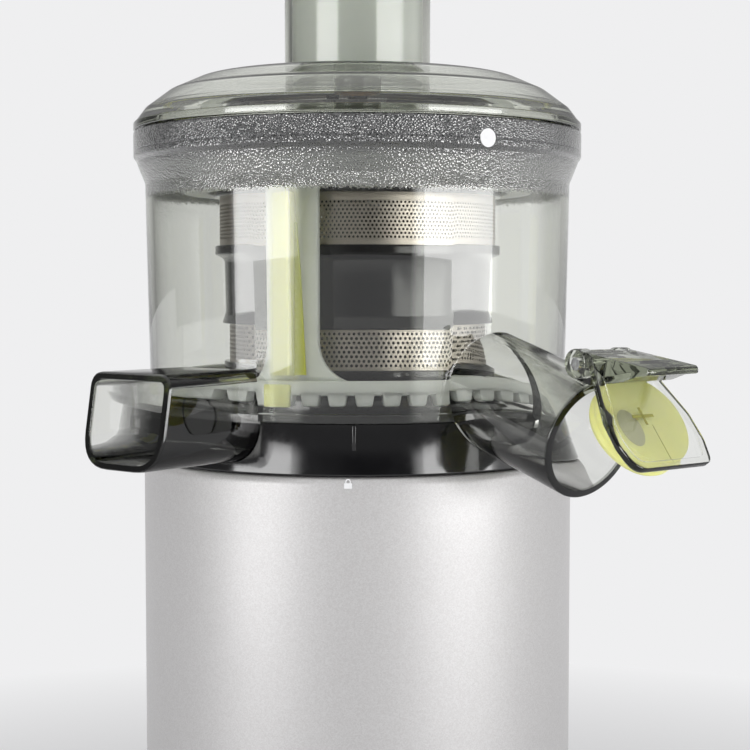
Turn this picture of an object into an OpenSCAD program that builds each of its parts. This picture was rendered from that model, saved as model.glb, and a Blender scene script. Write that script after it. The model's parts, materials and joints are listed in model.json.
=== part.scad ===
// Upright slow juicer: a motor base carries a clear juicing bowl with a pulp spout and a juice spout.
// Z is up, the origin lies on the drum's axis at the level that the feet stand on, and the front is -Y.
// Azimuths are measured from the front, positive towards +X.

/* [Motor base] */
// Outer radius of the drum-shaped base
base_r = 75; // [72:1:82]
// Height of the base's rolled rim above the table
base_h = 220.5; // [216:0.5:240]
// Wall of the base shell
base_wall = 2.5; // [2:0.5:3.5]
// Radius of the rolled edge at the top of the base
rim_round = 3; // [1.5:0.5:5]
// Width of the rim's flat land, from the outside to the deck
rim_land = 7; // [6:0.5:9]
// Thickness of the base plate and of the deck's flange
plate_t = 3; // [2.5:0.5:4]
// Radius of a rubber foot
foot_r = 9; // [7:0.5:11]
// Height of a rubber foot
foot_h = 5; // [4:0.5:7]
// How far each foot's centre stands in from the drum's wall
foot_inset = 18; // [15:1:25]
// Height of the rear switch's centre
switch_z = 62; // [50:1:80]
// Height of the cord gland's centre
gland_z = 26; // [22:1:34]
// Bore radius of the cord gland
gland_bore_r = 3.5; // [2.5:0.25:4.5]
// Number of slots in the rear air grille
vent_count = 8; // [4:1:10]

/* [Motor and gears] */
// Outer radius of the motor can
motor_r = 32; // [30:0.5:34]
// Length of the motor can
motor_len = 104; // [96:1:112]
// Distance of the countershaft from the axis, as a share of the drum's radius
counter_share = 0.48; // [0.474:0.002:0.486]
// Teeth of the motor pinion
pinion_teeth = 15; // [15:3:18]
// Teeth of the first wheel
wheel_teeth = 75; // [72:3:75]
// Teeth of the second pinion
second_teeth = 12; // [12:1:13]
// Teeth of the output wheel
output_teeth = 60; // [58:1:60]
// Radius of the drive shaft, and of its hexagon over the corners
drive_r = 8; // [7:0.5:8.5]
// Length of the hexagon that stands above the deck's collar
hex_len = 38; // [32:1:42]

/* [Bowl] */
// How far the foot of the black bowl base stands in from the drum
skirt_inset = 1; // [0:0.5:2]
// How much the black bowl base narrows towards its top
skirt_taper = 2.4; // [2:0.2:3]
// Height of the black bowl base
skirt_h = 16.2; // [15:0.2:18]
// How far the clear wall's foot stands out past the top of the black base
wall_step = 1; // [0.6:0.2:1.4]
// How much the clear wall widens towards its top
wall_taper = 1.4; // [0.8:0.2:2]
// Thickness of the clear wall
wall_t = 2.6; // [2:0.2:3]
// Height of the clear wall up to the flare
wall_h = 78.5; // [76:0.5:86]
// Height of the flare
flare_h = 7; // [5:0.5:9]
// How far the flange stands out past the clear wall
flange_out = 4; // [3:0.5:6]
// Height of the flange
flange_h = 10; // [9:0.5:13]
// Thickness of the bowl's floor
floor_t = 3; // [2.5:0.5:3.5]

/* [Spouts and cap] */
// Azimuth of the pulp spout
pulp_az = -39.5; // [-46:0.5:-34]
// Width of the pulp spout
pulp_w = 35; // [30:1:38]
// Height of the pulp spout
pulp_tall = 29.5; // [27:0.5:32]
// How far the pulp spout's upper lip stands out past the foot of the clear wall
pulp_out = 35.4; // [28:0.2:43]
// How much further out the pulp spout's lower lip stands
pulp_slant = 5; // [0:0.5:8]
// Azimuth of the juice spout
juice_az = 38; // [34:0.5:44]
// Outer radius of the juice spout
juice_r = 18.6; // [17:0.2:19.4]
// How far the juice spout's end stands out past the foot of the clear wall
juice_out = 41.4; // [36:0.2:47]
// Downward tilt of the juice spout
juice_tilt = 16.4; // [12:0.2:20]
// Height of the juice spout's end above the foot of the clear wall
juice_rise = -3.4; // [-5:0.2:-1]
// Wall of both spouts
spout_t = 2.3; // [2:0.1:2.8]
// How far the cap stands open at rest
cap_open = 54; // [0:1:60]
// Radius of the cap's sealing plug
plug_r = 15.2; // [14:0.2:15.2]
// Thickness of the cap's sealing plug
plug_t = 7.2; // [6:0.2:8]
// Thickness of the cap's plate
cap_t = 2.5; // [2:0.1:3]
// Length of the cap's finger tab
tab_len = 28; // [22:1:32]

/* [Strainer, wiper and auger] */
// Gap between the lip of the strainer's band and the pitch circle of the wiper's ring
lip_gap = 11; // [10.6:0.1:11.4]
// How far the band stands in from its lip
band_in = 3.2; // [2.4:0.2:3.6]
// How far the upper mesh stands in from the lip
upper_mesh_in = 1.6; // [1.2:0.1:2]
// How far the lower mesh stands in from the lip
lower_mesh_in = 4.9; // [4.8:0.1:5.3]
// Thickness of the perforated sheet
mesh_t = 0.5; // [0.4:0.1:0.6]
// Height of the lower mesh
lower_mesh_h = 13.1; // [11:0.5:15]
// Height of the band
band_h = 26.8; // [24:0.2:29]
// Height of the upper mesh
upper_mesh_h = 16.7; // [14:0.1:18]
// Gap between the pitch circle of the wiper's ring and the inside of the clear wall's foot
ring_gap = 9; // [8.6:0.1:9.4]
// Teeth of the auger's gear and of the idler
bowl_gear_teeth = 15; // [13:2:15]
// Width of a wiper arm
arm_w = 17; // [14:1:20]
// Azimuth of the first wiper arm
arm_az = -20; // [-26:1:-14]
// Thickness of the silicone blade
blade_t = 2.4; // [1.8:0.2:3]
// Gap between the auger's flights and the outside of the lower mesh
auger_gap = 3.6; // [3.2:0.2:6]
// Number of the auger's flights
flights = 2; // [1:1:3]

/* [Lid and pusher] */
// Height of the lid's dome above its rim
dome_h = 16; // [14:1:20]
// Outer radius of the feed chute
chute_r = 27; // [24:1:28]
// Distance of the feed chute's centre behind the axis
chute_y = 35; // [35:0.5:38]
// Height of the chute above the dome
chute_h = 67; // [55:1:80]
// Wall of the lid and its chute
lid_t = 2.6; // [2:0.2:3]
// Outer radius of the feed tray
tray_r = 39; // [34:1:44]
// Height of the feed tray
tray_h = 14; // [10:1:18]
// Height of the pusher's head
head_h = 11; // [8:1:16]

/* [Clearances] */
// Gap between pieces that move past each other
gap = 0.3; // [0.25:0.05:0.5]
// Radial clearance of a shaft in its bush
running = 0.05; // [0.03:0.01:0.08]
// Gap between fixed pieces
fit = 0.1; // [0.05:0.05:0.2]
// Thinning of each gear tooth along the pitch circle
backlash = 0.1; // [0.08:0.02:0.2]
// Thinning of each tooth in the wiper's coarse gears
loose_backlash = 0.6; // [0.4:0.1:0.8]

/* [Hidden] */
$fn = 96;

silver = "silver";
black = [0.07, 0.07, 0.08];
smoke = [0.55, 0.58, 0.56, 0.4];
lime = [0.82, 0.85, 0.4];
white = [0.92, 0.93, 0.9];
steel = [0.7, 0.7, 0.72];
eps = 0.01;

// Heights of the base, from the table up
plate_z = foot_h - 1;
shell_z = plate_z + 1;
deck_top = base_h - 0.5;
deck_flange_top = base_h - base_wall;
deck_flange_z = deck_flange_top - plate_t;
shell_in_r = base_r - base_wall;
deck_r = base_r - rim_land;
foot_ring_r = base_r - foot_inset;

// Motor and gearbox stack, hung below the deck
post_h = 11;
cover_top = deck_flange_z - post_h;
cover_t = 4;
cover_z = cover_top - cover_t;
box_in_h = 47;
box_floor_t = 3;
box_z = cover_z - box_in_h - box_floor_t;
motor_top = box_z;
motor_z = motor_top - motor_len;
counter_x = counter_share * base_r;
first_module = 2 * counter_x / (pinion_teeth + wheel_teeth);
second_module = 2 * counter_x / (second_teeth + output_teeth);
box_r = second_module * output_teeth / 2 + 4;
box_wall = 2.5;
first_z = box_z + box_floor_t + 4;
first_h = 12;
second_z = first_z + first_h + 9;
second_h = 14;
motor_shaft_r = 3;
counter_shaft_r = 3;
bush_r = 7;
bush_len = 8;
rotor_r = 19.5;
stator_in_r = rotor_r + 0.6;
stack_z = motor_z + 20;
stack_h = motor_len - 48;
coil_h = 7.5;
motor_screw_ring_r = 18;
fan_r = 28;
fan_h = 11;
fan_z = motor_z - fan_h - 6;
commutator_r = 10;
commutator_z = motor_top - 22;
collar_h = 4;
collar_top = deck_top + collar_h;
collar_r = drive_r + 3.5;

// Base fixings
boss_r = 4.5;
boss_ring_r = shell_in_r - boss_r + 0.8;
boss_h = 24;
screw_r = 1.6;
screw_head_r = 3.1;
boss_az = [20, 110, 200, 290];
deck_post_r = 5;
deck_posts = [[-26, 20], [-26, -20], [counter_x + 20, 0]];
box_screw_spots = [[-box_r + 5.5, 0], [counter_x / 2, box_r - 5.2], [counter_x / 2, -box_r + 5.2]];

// Switch, gland and control board
bezel_w = 22;
bezel_h = 30;
rocker_r = 10.4;
rocker_w = 14;
rocker_y = base_r - 8;
rocker_tilt = 8;
gland_neck_r = gland_bore_r + 2;
board_z = plate_z + plate_t + 9;
board_t = 1.6;
board_w = 62;
board_l = 27;
board_y = 15.5 - shell_in_r;
board_hole_x = board_w / 2 - 5;
board_hole_y = [board_y + 3.5, board_y + 23.5];

// Bowl heights
bowl_seat = base_h + gap;
skirt_top = bowl_seat + skirt_h;
floor_z = skirt_top + 2.5;
neck_z = skirt_top + wall_h;
flange_z = neck_z + flare_h;
bowl_top = flange_z + flange_h;
skirt_r_low = base_r - skirt_inset;
skirt_r_top = skirt_r_low - skirt_taper;
wall_r_low = skirt_r_top + wall_step;
wall_r_top = wall_r_low + wall_taper;
flange_r = wall_r_top + flange_out;
socket_r = flange_r - 3;
wall_in_low = wall_r_low - wall_t;
wall_in_top = wall_r_top - wall_t;
skirt_t = 2.5;
sleeve_in_r = collar_r - 1.5;
sleeve_r = sleeve_in_r + 2.6;
sleeve_top = floor_z + 2.5;
seal_r = sleeve_r + 2.6;

// Pulp duct and spout
pulp_z = skirt_top - 13;
duct_w = pulp_w - 2 * spout_t - 2;
duct_top = skirt_top - floor_t + 2.5;
ring_pitch_r = wall_in_low - ring_gap;
band_lip_r = ring_pitch_r - lip_gap;
foot_in_r = band_lip_r - 6;
foot_out_r = band_lip_r - 3.4;
duct_in_r = foot_in_r - 17;
notch_r = wall_in_low - 4;
pulp_reach = wall_r_low + pulp_out;
pulp_top_round = 4;
pulp_low_round = 11;

// Juice spout and its cap, in a frame at the middle of the spout's end with X pointing out of it
juice_z = skirt_top + juice_rise;
juice_reach = wall_r_low + juice_out;
hinge_x = -3.5;
barrel_r = 4.4;
hinge_z = juice_r + barrel_r + 0.4;
cap_pin_r = 2;
lug_half = 6;
barrel_half = 11;
cap_x = gap;
plug_x = cap_x - plug_t;
tab_angle = -46;
tab_top = barrel_r - 0.3;

// Strainer
strainer_z = floor_z + gap;
strainer_ring_z = floor_z + 11.5;
lower_mesh_z = strainer_ring_z + 2.6;
band_z = lower_mesh_z + lower_mesh_h;
upper_mesh_z = band_z + band_h;
top_ring_z = upper_mesh_z + upper_mesh_h;
strainer_top = top_ring_z + 5.8;
band_r = band_lip_r - band_in;
upper_mesh_r = band_lip_r - upper_mesh_in;
lower_mesh_r = band_lip_r - lower_mesh_in;
rib_count = 6;
rib_w = 5;

// Wiper and its gears
ring_teeth = 3 * bowl_gear_teeth;
bowl_module = 2 * ring_pitch_r / ring_teeth;
idler_y = bowl_module * bowl_gear_teeth;
ring_out_r = ring_pitch_r + 1.3;
ring_tip_r = ring_pitch_r - 0.8 * bowl_module;
ring_z = floor_z + 6.2;
ring_h = 4.7;
tooth_drop = 3.8;
idler_z = floor_z + 0.4;
idler_h = ring_z - 0.4 - idler_z;
idler_window_r = bowl_module * (bowl_gear_teeth / 2 + 0.8) + 0.8;
idler_pin_r = 4;
arm_in_r = ring_pitch_r - 3.4;
arm_out_r = ring_pitch_r;
wiper_top_z = top_ring_z + 1.3;
wiper_top_h = 3.5;
arms = [arm_az, arm_az + 180];
blade_top = top_ring_z - 1;
blade_low = ring_z + ring_h + 1.5;

// Auger
auger_r = lower_mesh_r - auger_gap;
auger_z = strainer_ring_z + gap;
auger_top = top_ring_z - 2;
auger_hub_r = seal_r + 0.6;
hub_z = sleeve_top + gap;
insert_r = drive_r + 5;
insert_h = 32;
tip_r = 3.5;
auger_gear_z = floor_z + 0.8;
bush_out_r = 6;

// Lid and pusher
lid_z = bowl_top + 0.4;
lid_rim_h = 3.4;
dome_z = lid_z + lid_rim_h;
dome_top = dome_z + dome_h;
gasket_z = flange_z - 0.3 + gap;
gasket_h = 3;
spigot_z = gasket_z + gasket_h + 0.1;
chute_z = dome_z + 2;
tray_z = dome_top + chute_h;
tray_top = tray_z + tray_h;
pusher_z = dome_z + 9;
bush_z = lid_z - 11;
tip_top = bush_z + 8;

// Involute of an angle in degrees
function involute(a) = tan(a) * 180 / PI - a;
// Half of a tooth's angle at radius r
function half_tooth(r, pitch_r, teeth, thinning) =
    90 / teeth - thinning / 2 / pitch_r * 180 / PI + involute(20)
    - (r > pitch_r * cos(20) ? involute(acos(pitch_r * cos(20) / r)) : 0);
function polar(r, a) = [r * cos(a), r * sin(a)];

// Flat involute gear with a tooth centred on +X
module gear_outline(module_mm, teeth, thinning, tip = 0.9, root = 1.15, steps = 4) {
    pitch_r = module_mm * teeth / 2;
    low = pitch_r - root * module_mm;
    high = pitch_r + tip * module_mm;
    start = max(low, pitch_r * cos(20));
    radii = [low, for (i = [0:steps]) start + (high - start) * i / steps];
    polygon([
        for (t = [0:teeth - 1])
            for (side = [-1, 1])
                for (i = [0:len(radii) - 1])
                    let (r = radii[side < 0 ? i : len(radii) - 1 - i])
                        polar(r, 360 * t / teeth + side * half_tooth(r, pitch_r, teeth, thinning))
    ]);
}

module tube(r_out, r_in, h) {
    difference() {
        cylinder(r = r_out, h = h);
        translate([0, 0, -1])
            cylinder(r = r_in, h = h + 2);
    }
}

// Rectangle from z = 0 up, centred across, with its own radii at the top and the bottom corners
module rounded_section(w, h, top_round, low_round) {
    for (side = [-1, 1]) {
        translate([side * (w / 2 - top_round), h - top_round])
            circle(r = top_round);
        translate([side * (w / 2 - low_round), low_round])
            circle(r = low_round);
    }
    translate([-w / 2 + low_round, 0])
        square([w - 2 * low_round, h / 2]);
    translate([-w / 2 + top_round, h / 2])
        square([w - 2 * top_round, h / 2]);
    translate([-w / 2, low_round])
        square([w, h - top_round - low_round]);
}

// Turns a shape drawn along +X to an azimuth measured from the front
module facing(azimuth) {
    rotate([0, 0, azimuth - 90])
        children();
}

module stadium(r) {
    circle(r = r);
    translate([counter_x, 0])
        circle(r = r);
    translate([0, -r])
        square([counter_x, 2 * r]);
}

module screw(length, head_r, head_h, shank_r) {
    cylinder(r = head_r, h = head_h);
    translate([0, 0, head_h - eps])
        cylinder(r = shank_r, h = length);
}

// ---- Motor base ----

module rubber_feet() {
    color(black)
        for (a = [0:90:270])
            facing(a + 45)
                translate([foot_ring_r, 0, 0]) {
                    cylinder(r1 = foot_r - 1, r2 = foot_r, h = 1);
                    translate([0, 0, 1 - eps])
                        cylinder(r = foot_r, h = foot_h - 1 + eps);
                }
}

module base_plate() {
    color(black)
        difference() {
            union() {
                difference() {
                    translate([0, 0, plate_z])
                        cylinder(r = shell_in_r - fit, h = 10);
                    translate([0, 0, plate_z + plate_t])
                        cylinder(r = shell_in_r - fit - 2, h = 10);
                }
                for (x = [-board_hole_x, board_hole_x], y = board_hole_y)
                    translate([x, y, plate_z + 1])
                        cylinder(r = 3, h = board_z - plate_z - 1);
            }
            for (a = [0:90:270])
                facing(a + 45)
                    translate([foot_ring_r, 0, plate_z - 1])
                        cylinder(r = foot_r + fit, h = 2);
            for (a = boss_az)
                facing(a)
                    translate([boss_ring_r, 0, 0]) {
                        translate([0, 0, plate_z - 1])
                            cylinder(r = screw_r + 0.3, h = 30);
                        translate([0, 0, plate_z + plate_t - 0.3])
                            cylinder(r = boss_r + 0.3, h = 20);
                    }
            for (i = [-3:3])
                translate([i * 6 - 1.2, -18, plate_z - 1])
                    cube([2.4, 36, plate_t + 2]);
            for (x = [-board_hole_x, board_hole_x], y = board_hole_y)
                translate([x, y, plate_z - 1])
                    cylinder(r = 1, h = board_z - plate_z + 2);
        }
}

module base_screws() {
    color(steel)
        for (a = boss_az)
            facing(a)
                translate([boss_ring_r, 0, plate_z - 1.8])
                    screw(16, screw_head_r, 1.8, screw_r);
}

module shell_section() {
    difference() {
        union() {
            square([base_r - rim_round, base_h]);
            square([base_r, base_h - rim_round]);
            translate([base_r - rim_round, base_h - rim_round])
                circle(r = rim_round);
        }
        translate([-1, -1])
            square([shell_in_r + 1, base_h - base_wall + 1]);
        translate([-1, -1])
            square([deck_r + 1, base_h + 2]);
        translate([-1, -1])
            square([base_r + 2, shell_z + 1]);
    }
}

module body_shell() {
    color(silver)
        difference() {
            union() {
                rotate_extrude($fn = 180)
                    shell_section();
                for (a = boss_az)
                    facing(a)
                        translate([boss_ring_r, 0, plate_z + plate_t + 0.1])
                            cylinder(r = boss_r, h = boss_h);
            }
            for (a = boss_az)
                facing(a)
                    translate([boss_ring_r, 0, plate_z])
                        cylinder(r = screw_r + 0.05, h = boss_h - 2);
            translate([-bezel_w / 2 - fit, base_r - 12, switch_z - bezel_h / 2 - fit])
                cube([bezel_w + 2 * fit, 20, bezel_h + 2 * fit]);
            translate([0, base_r - 12, gland_z])
                rotate([-90, 0, 0])
                    cylinder(r = gland_neck_r + fit, h = 20);
            for (i = [0:vent_count - 1])
                translate([-22, base_r - 14, switch_z + 36 + i * 5])
                    cube([44, 20, 2.2]);
        }
}

module top_deck() {
    color(black)
        difference() {
            union() {
                translate([0, 0, deck_flange_z])
                    cylinder(r = shell_in_r - 0.4, h = plate_t);
                translate([0, 0, deck_flange_top - eps])
                    cylinder(r = deck_r - 0.2, h = deck_top - deck_flange_top + eps);
                translate([0, 0, deck_top - eps])
                    cylinder(r = collar_r, h = collar_h + eps);
                for (a = [30:90:300])
                    facing(a)
                        translate([deck_r - 6, -5, deck_top - eps])
                            cube([3, 10, 3.5]);
            }
            translate([0, 0, deck_flange_z - 1])
                cylinder(r = drive_r + 0.6, h = 30);
            translate([0, 0, collar_top - 2.4])
                cylinder(r = drive_r + 2.4, h = 5);
            for (p = deck_posts)
                translate([p[0], p[1], deck_flange_z - 1]) {
                    cylinder(r = screw_r + 0.2, h = 10);
                    translate([0, 0, deck_top - deck_flange_z - 1.4])
                        cylinder(r = screw_head_r + 0.3, h = 10);
                }
        }
}

module deck_screws() {
    color(steel)
        for (p = deck_posts)
            translate([p[0], p[1], deck_top - 0.4])
                rotate([180, 0, 0])
                    screw(12, screw_head_r, 2, screw_r);
}

module switch_bezel() {
    color(black)
        difference() {
            union() {
                translate([-bezel_w / 2, base_r - 16, switch_z - bezel_h / 2])
                    cube([bezel_w, 16, bezel_h]);
                translate([-bezel_w / 2 - 1.5, base_r + fit, switch_z - bezel_h / 2 - 1.5])
                    cube([bezel_w + 3, 1.4, bezel_h + 3]);
                translate([-bezel_w / 2, base_r - 1, switch_z - bezel_h / 2])
                    cube([bezel_w, 1 + fit + 0.1, bezel_h]);
            }
            translate([-rocker_w / 2 - gap, rocker_y, switch_z])
                rotate([0, 90, 0])
                    cylinder(r = rocker_r + gap, h = rocker_w + 2 * gap);
            translate([-rocker_w / 2 - gap, rocker_y, switch_z - rocker_r - gap])
                cube([rocker_w + 2 * gap, 30, 2 * rocker_r + 2 * gap]);
            translate([-bezel_w / 2 - 1, rocker_y, switch_z])
                rotate([0, 90, 0])
                    cylinder(r = 1.5 + running, h = bezel_w + 2);
        }
}

module rocker_switch() {
    color("black")
        translate([0, rocker_y, switch_z])
            difference() {
                union() {
                    translate([-rocker_w / 2, 0, 0])
                        rotate([0, 90, 0])
                            cylinder(r = rocker_r, h = rocker_w);
                    translate([-bezel_w / 2 + 0.5, 0, 0])
                        rotate([0, 90, 0])
                            cylinder(r = 1.5, h = bezel_w - 1);
                }
                for (side = [-1, 1])
                    rotate([rocker_tilt + side * rocker_tilt, 0, 0])
                        translate([-rocker_w, 8.4, side < 0 ? -30 : 0])
                            cube([2 * rocker_w, 20, 30]);
            }
}

module cord_gland() {
    color(black)
        translate([0, shell_in_r - 3, gland_z])
            rotate([-90, 0, 0])
                difference() {
                    union() {
                        cylinder(r = gland_neck_r + 2, h = 2.2);
                        cylinder(r = gland_neck_r, h = 3 + base_wall + 1.4);
                        translate([0, 0, 3 + base_wall + 0.3])
                            cylinder(r1 = gland_neck_r + 2.5, r2 = gland_neck_r + 1, h = 3);
                    }
                    translate([0, 0, -1])
                        cylinder(r = gland_bore_r, h = 20);
                }
}

module control_board() {
    color("darkgreen")
        difference() {
            translate([-board_w / 2, board_y, board_z])
                cube([board_w, board_l, board_t]);
            for (x = [-board_hole_x, board_hole_x], y = board_hole_y)
                translate([x, y, board_z - 1])
                    cylinder(r = 1.2, h = 4);
        }
}

module board_parts() {
    color("dimgray")
        translate([0, board_y, board_z + board_t]) {
            translate([-12, 11, 0])
                cylinder(r = 6, h = 9);
            translate([4, 4, 0])
                cube([14, 16, 8]);
            translate([-3, 2, 0])
                cube([5, 8, 7]);
        }
}

// ---- Motor ----

module motor_can() {
    color(steel)
        translate([0, 0, motor_z])
            difference() {
                union() {
                    tube(motor_r, motor_r - 2, motor_len);
                    tube(motor_r - 1, bush_r + fit, 3);
                    translate([0, 0, motor_len - 3])
                        tube(motor_r - 1, bush_r + fit, 3);
                }
                for (a = [0:90:270])
                    rotate([0, 0, a + 45])
                        translate([motor_screw_ring_r, 0, motor_len - 4])
                            cylinder(r = screw_r + 0.05, h = 5);
                for (a = [0:60:300])
                    rotate([0, 0, a])
                        translate([14, -4, -1])
                            cube([10, 8, 5]);
            }
}

module motor_stator() {
    color("gray")
        translate([0, 0, stack_z])
            difference() {
                cylinder(r = motor_r - 2 - fit, h = stack_h);
                translate([0, 0, -1])
                    cylinder(r = stator_in_r, h = stack_h + 2);
                for (side = [-1, 1])
                    translate([side * (stator_in_r + 1.5) - 2, -9, -1])
                        cube([4, 18, stack_h + 2]);
            }
}

module field_coils() {
    color("chocolate")
        for (z = [stack_z - coil_h - 0.6, stack_z + stack_h + 0.1])
            translate([0, 0, z])
                tube(motor_r - 3.5, stator_in_r + 1, coil_h);
}

module carbon_brushes() {
    color("dimgray")
        for (side = [0, 180])
            rotate([0, 0, side])
                translate([commutator_r + gap, -3, commutator_z + 2])
                    cube([motor_r - 2 - fit - commutator_r - gap, 6, 7]);
}

module motor_bushes() {
    color("peru")
        for (z = [motor_z - 2, motor_top - bush_len + 2])
            translate([0, 0, z])
                tube(bush_r, motor_shaft_r + running, bush_len);
}

module motor_shaft() {
    color(steel)
        translate([0, 0, fan_z - 2])
            cylinder(r = motor_shaft_r, h = first_z + first_h + 1 - fan_z + 2);
}

module rotor_core() {
    color("gray")
        translate([0, 0, stack_z + 1])
            difference() {
                cylinder(r = rotor_r, h = stack_h - 2);
                translate([0, 0, -1])
                    cylinder(r = motor_shaft_r, h = stack_h);
                for (a = [0:30:330])
                    rotate([0, 0, a])
                        translate([rotor_r - 1, -0.8, -1])
                            cube([3, 1.6, stack_h]);
            }
}

module commutator() {
    color("peru")
        translate([0, 0, commutator_z])
            tube(commutator_r, motor_shaft_r, 11);
}

module motor_pinion() {
    color("goldenrod")
        translate([0, 0, first_z])
            linear_extrude(first_h)
                difference() {
                    gear_outline(first_module, pinion_teeth, backlash);
                    circle(r = motor_shaft_r);
                }
}

module cooling_fan() {
    color("whitesmoke")
        translate([0, 0, fan_z])
            difference() {
                union() {
                    cylinder(r = 7, h = fan_h);
                    cylinder(r = fan_r, h = 1.6);
                    for (a = [0:36:324])
                        rotate([0, 0, a])
                            translate([6, -0.8, 0])
                                cube([fan_r - 7, 1.6, fan_h]);
                }
                translate([0, 0, -1])
                    cylinder(r = motor_shaft_r, h = fan_h + 2);
            }
}

module motor_screws() {
    color(steel)
        for (a = [0:90:270])
            rotate([0, 0, a + 45])
                translate([motor_screw_ring_r, 0, box_z + box_floor_t + 1.6])
                    rotate([180, 0, 0])
                        screw(box_floor_t + 2.4, 2.6, 1.6, screw_r);
}

// ---- Gearbox ----

module gearbox_housing() {
    color("lightgray")
        difference() {
            translate([0, 0, box_z])
                linear_extrude(box_in_h + box_floor_t)
                    stadium(box_r);
            translate([0, 0, box_z + box_floor_t])
                linear_extrude(box_in_h + 1)
                    stadium(box_r - box_wall);
            translate([0, 0, box_z - 1])
                cylinder(r = bush_r + 0.4, h = box_floor_t + 2);
            translate([counter_x, 0, box_z - 1])
                cylinder(r = bush_r - 2 + fit, h = box_floor_t + 2);
            for (a = [0:90:270])
                rotate([0, 0, a + 45])
                    translate([motor_screw_ring_r, 0, box_z - 1])
                        cylinder(r = screw_r + 0.2, h = box_floor_t + 2);
        }
}

module gearbox_cover() {
    color("lightgray")
        difference() {
            union() {
                translate([0, 0, cover_z])
                    linear_extrude(cover_t)
                        stadium(box_r);
                translate([0, 0, cover_top - eps])
                    cylinder(r = drive_r + 7, h = post_h - 1);
                for (p = deck_posts)
                    translate([p[0], p[1], cover_top - eps])
                        cylinder(r = deck_post_r, h = post_h + eps);
            }
            translate([0, 0, cover_z - 1])
                cylinder(r = drive_r + 3 + fit, h = post_h + cover_t + 2);
            translate([counter_x, 0, cover_z - 1])
                cylinder(r = bush_r - 2 + fit, h = cover_t + 2);
            for (p = deck_posts)
                translate([p[0], p[1], cover_top + 1])
                    cylinder(r = screw_r + 0.05, h = post_h);
            for (p = box_screw_spots)
                translate([p[0], p[1], cover_z - 1])
                    cylinder(r = 1.3, h = cover_t + 2);
        }
}

module gearbox_screws() {
    color(steel)
        for (p = box_screw_spots)
            translate([p[0], p[1], cover_top + 1.5])
                rotate([180, 0, 0])
                    screw(cover_t - 0.5, 2.4, 1.5, 1.2);
}

module counter_shaft() {
    color(steel)
        translate([counter_x, 0, box_z + 0.2])
            cylinder(r = counter_shaft_r, h = cover_top - box_z - 0.4);
}

module first_wheel() {
    color("ivory")
        translate([counter_x, 0, first_z])
            linear_extrude(first_h)
                difference() {
                    rotate(180 + 180 / wheel_teeth)
                        gear_outline(first_module, wheel_teeth, backlash);
                    circle(r = counter_shaft_r);
                    for (a = [0:60:300])
                        rotate(a)
                            translate([16, 0])
                                circle(r = 5);
                }
}

module second_pinion() {
    color(steel)
        translate([counter_x, 0, first_z + first_h + 0.1])
            linear_extrude(second_z + second_h - first_z - first_h)
                difference() {
                    rotate(180 + 180 / second_teeth)
                        gear_outline(second_module, second_teeth, backlash);
                    circle(r = counter_shaft_r);
                }
}

module counter_bushes() {
    color("peru")
        translate([counter_x, 0, 0]) {
            translate([0, 0, box_z])
                tube(bush_r - 2, counter_shaft_r + running, box_floor_t + 0.6);
            translate([0, 0, cover_z - 0.6])
                tube(bush_r - 2, counter_shaft_r + running, cover_t + 0.6);
        }
}

module output_wheel() {
    color("ivory")
        translate([0, 0, second_z])
            linear_extrude(second_h - 1)
                difference() {
                    gear_outline(second_module, output_teeth, backlash);
                    circle(r = drive_r);
                    for (a = [0:60:300])
                        rotate(a)
                            translate([18, 0])
                                circle(r = 4.5);
                }
}

module drive_shaft() {
    color(steel) {
        translate([0, 0, second_z])
            cylinder(r = drive_r, h = collar_top - second_z);
        translate([0, 0, collar_top - eps])
            cylinder(r = drive_r, h = hex_len, $fn = 6);
    }
}

module output_bush() {
    color("peru")
        translate([0, 0, cover_z])
            tube(drive_r + 3, drive_r + running, post_h + cover_t - 1);
}

module shaft_seal() {
    color(black)
        translate([0, 0, collar_top - 2.4])
            tube(drive_r + 2.3, drive_r + running, 2.2);
}

// ---- Bowl ----

module in_pulp_frame() {
    facing(pulp_az)
        translate([0, 0, pulp_z])
            children();
}

module pulp_section(inset) {
    translate([0, inset])
        rounded_section(pulp_w - 2 * inset, pulp_tall - 2 * inset, pulp_top_round - inset * 0.7,
            pulp_low_round - inset);
}

module pulp_prism(inset, from_r, to_r) {
    in_pulp_frame()
        translate([from_r, 0, 0])
            rotate([90, 0, 90])
                linear_extrude(to_r - from_r)
                    pulp_section(inset);
}

module pulp_tube() {
    difference() {
        pulp_prism(0, notch_r + gap, pulp_reach + pulp_slant + 1);
        pulp_prism(spout_t, notch_r - 1, pulp_reach + pulp_slant + 3);
        in_pulp_frame()
            translate([pulp_reach, -pulp_w, pulp_tall])
                rotate([0, -atan(pulp_slant / pulp_tall), 0])
                    translate([0, 0, -2 * pulp_tall])
                        cube([60, 2 * pulp_w, 4 * pulp_tall]);
        translate([0, 0, skirt_top])
            cylinder(r1 = wall_r_low - 1, r2 = wall_r_low - 1, h = 60);
    }
}

module in_juice_frame() {
    translate([juice_reach * sin(juice_az), -juice_reach * cos(juice_az), juice_z])
        rotate([0, juice_tilt, juice_az - 90])
            children();
}

module juice_bar(r, from_x, to_x) {
    in_juice_frame()
        translate([from_x, 0, 0])
            rotate([0, 90, 0])
                cylinder(r = r, h = to_x - from_x);
}

module juice_tube() {
    difference() {
        juice_bar(juice_r, -60, 0);
        juice_bar(juice_r - spout_t, -62, 1);
        rotate_extrude()
            polygon([
                [0, foot_h], [skirt_r_low + gap, foot_h], [skirt_r_low + gap, bowl_seat],
                [skirt_r_top + gap, skirt_top], [wall_in_low + 1, skirt_top],
                [wall_in_top + 1, neck_z], [0, neck_z]
            ]);
    }
}

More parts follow.
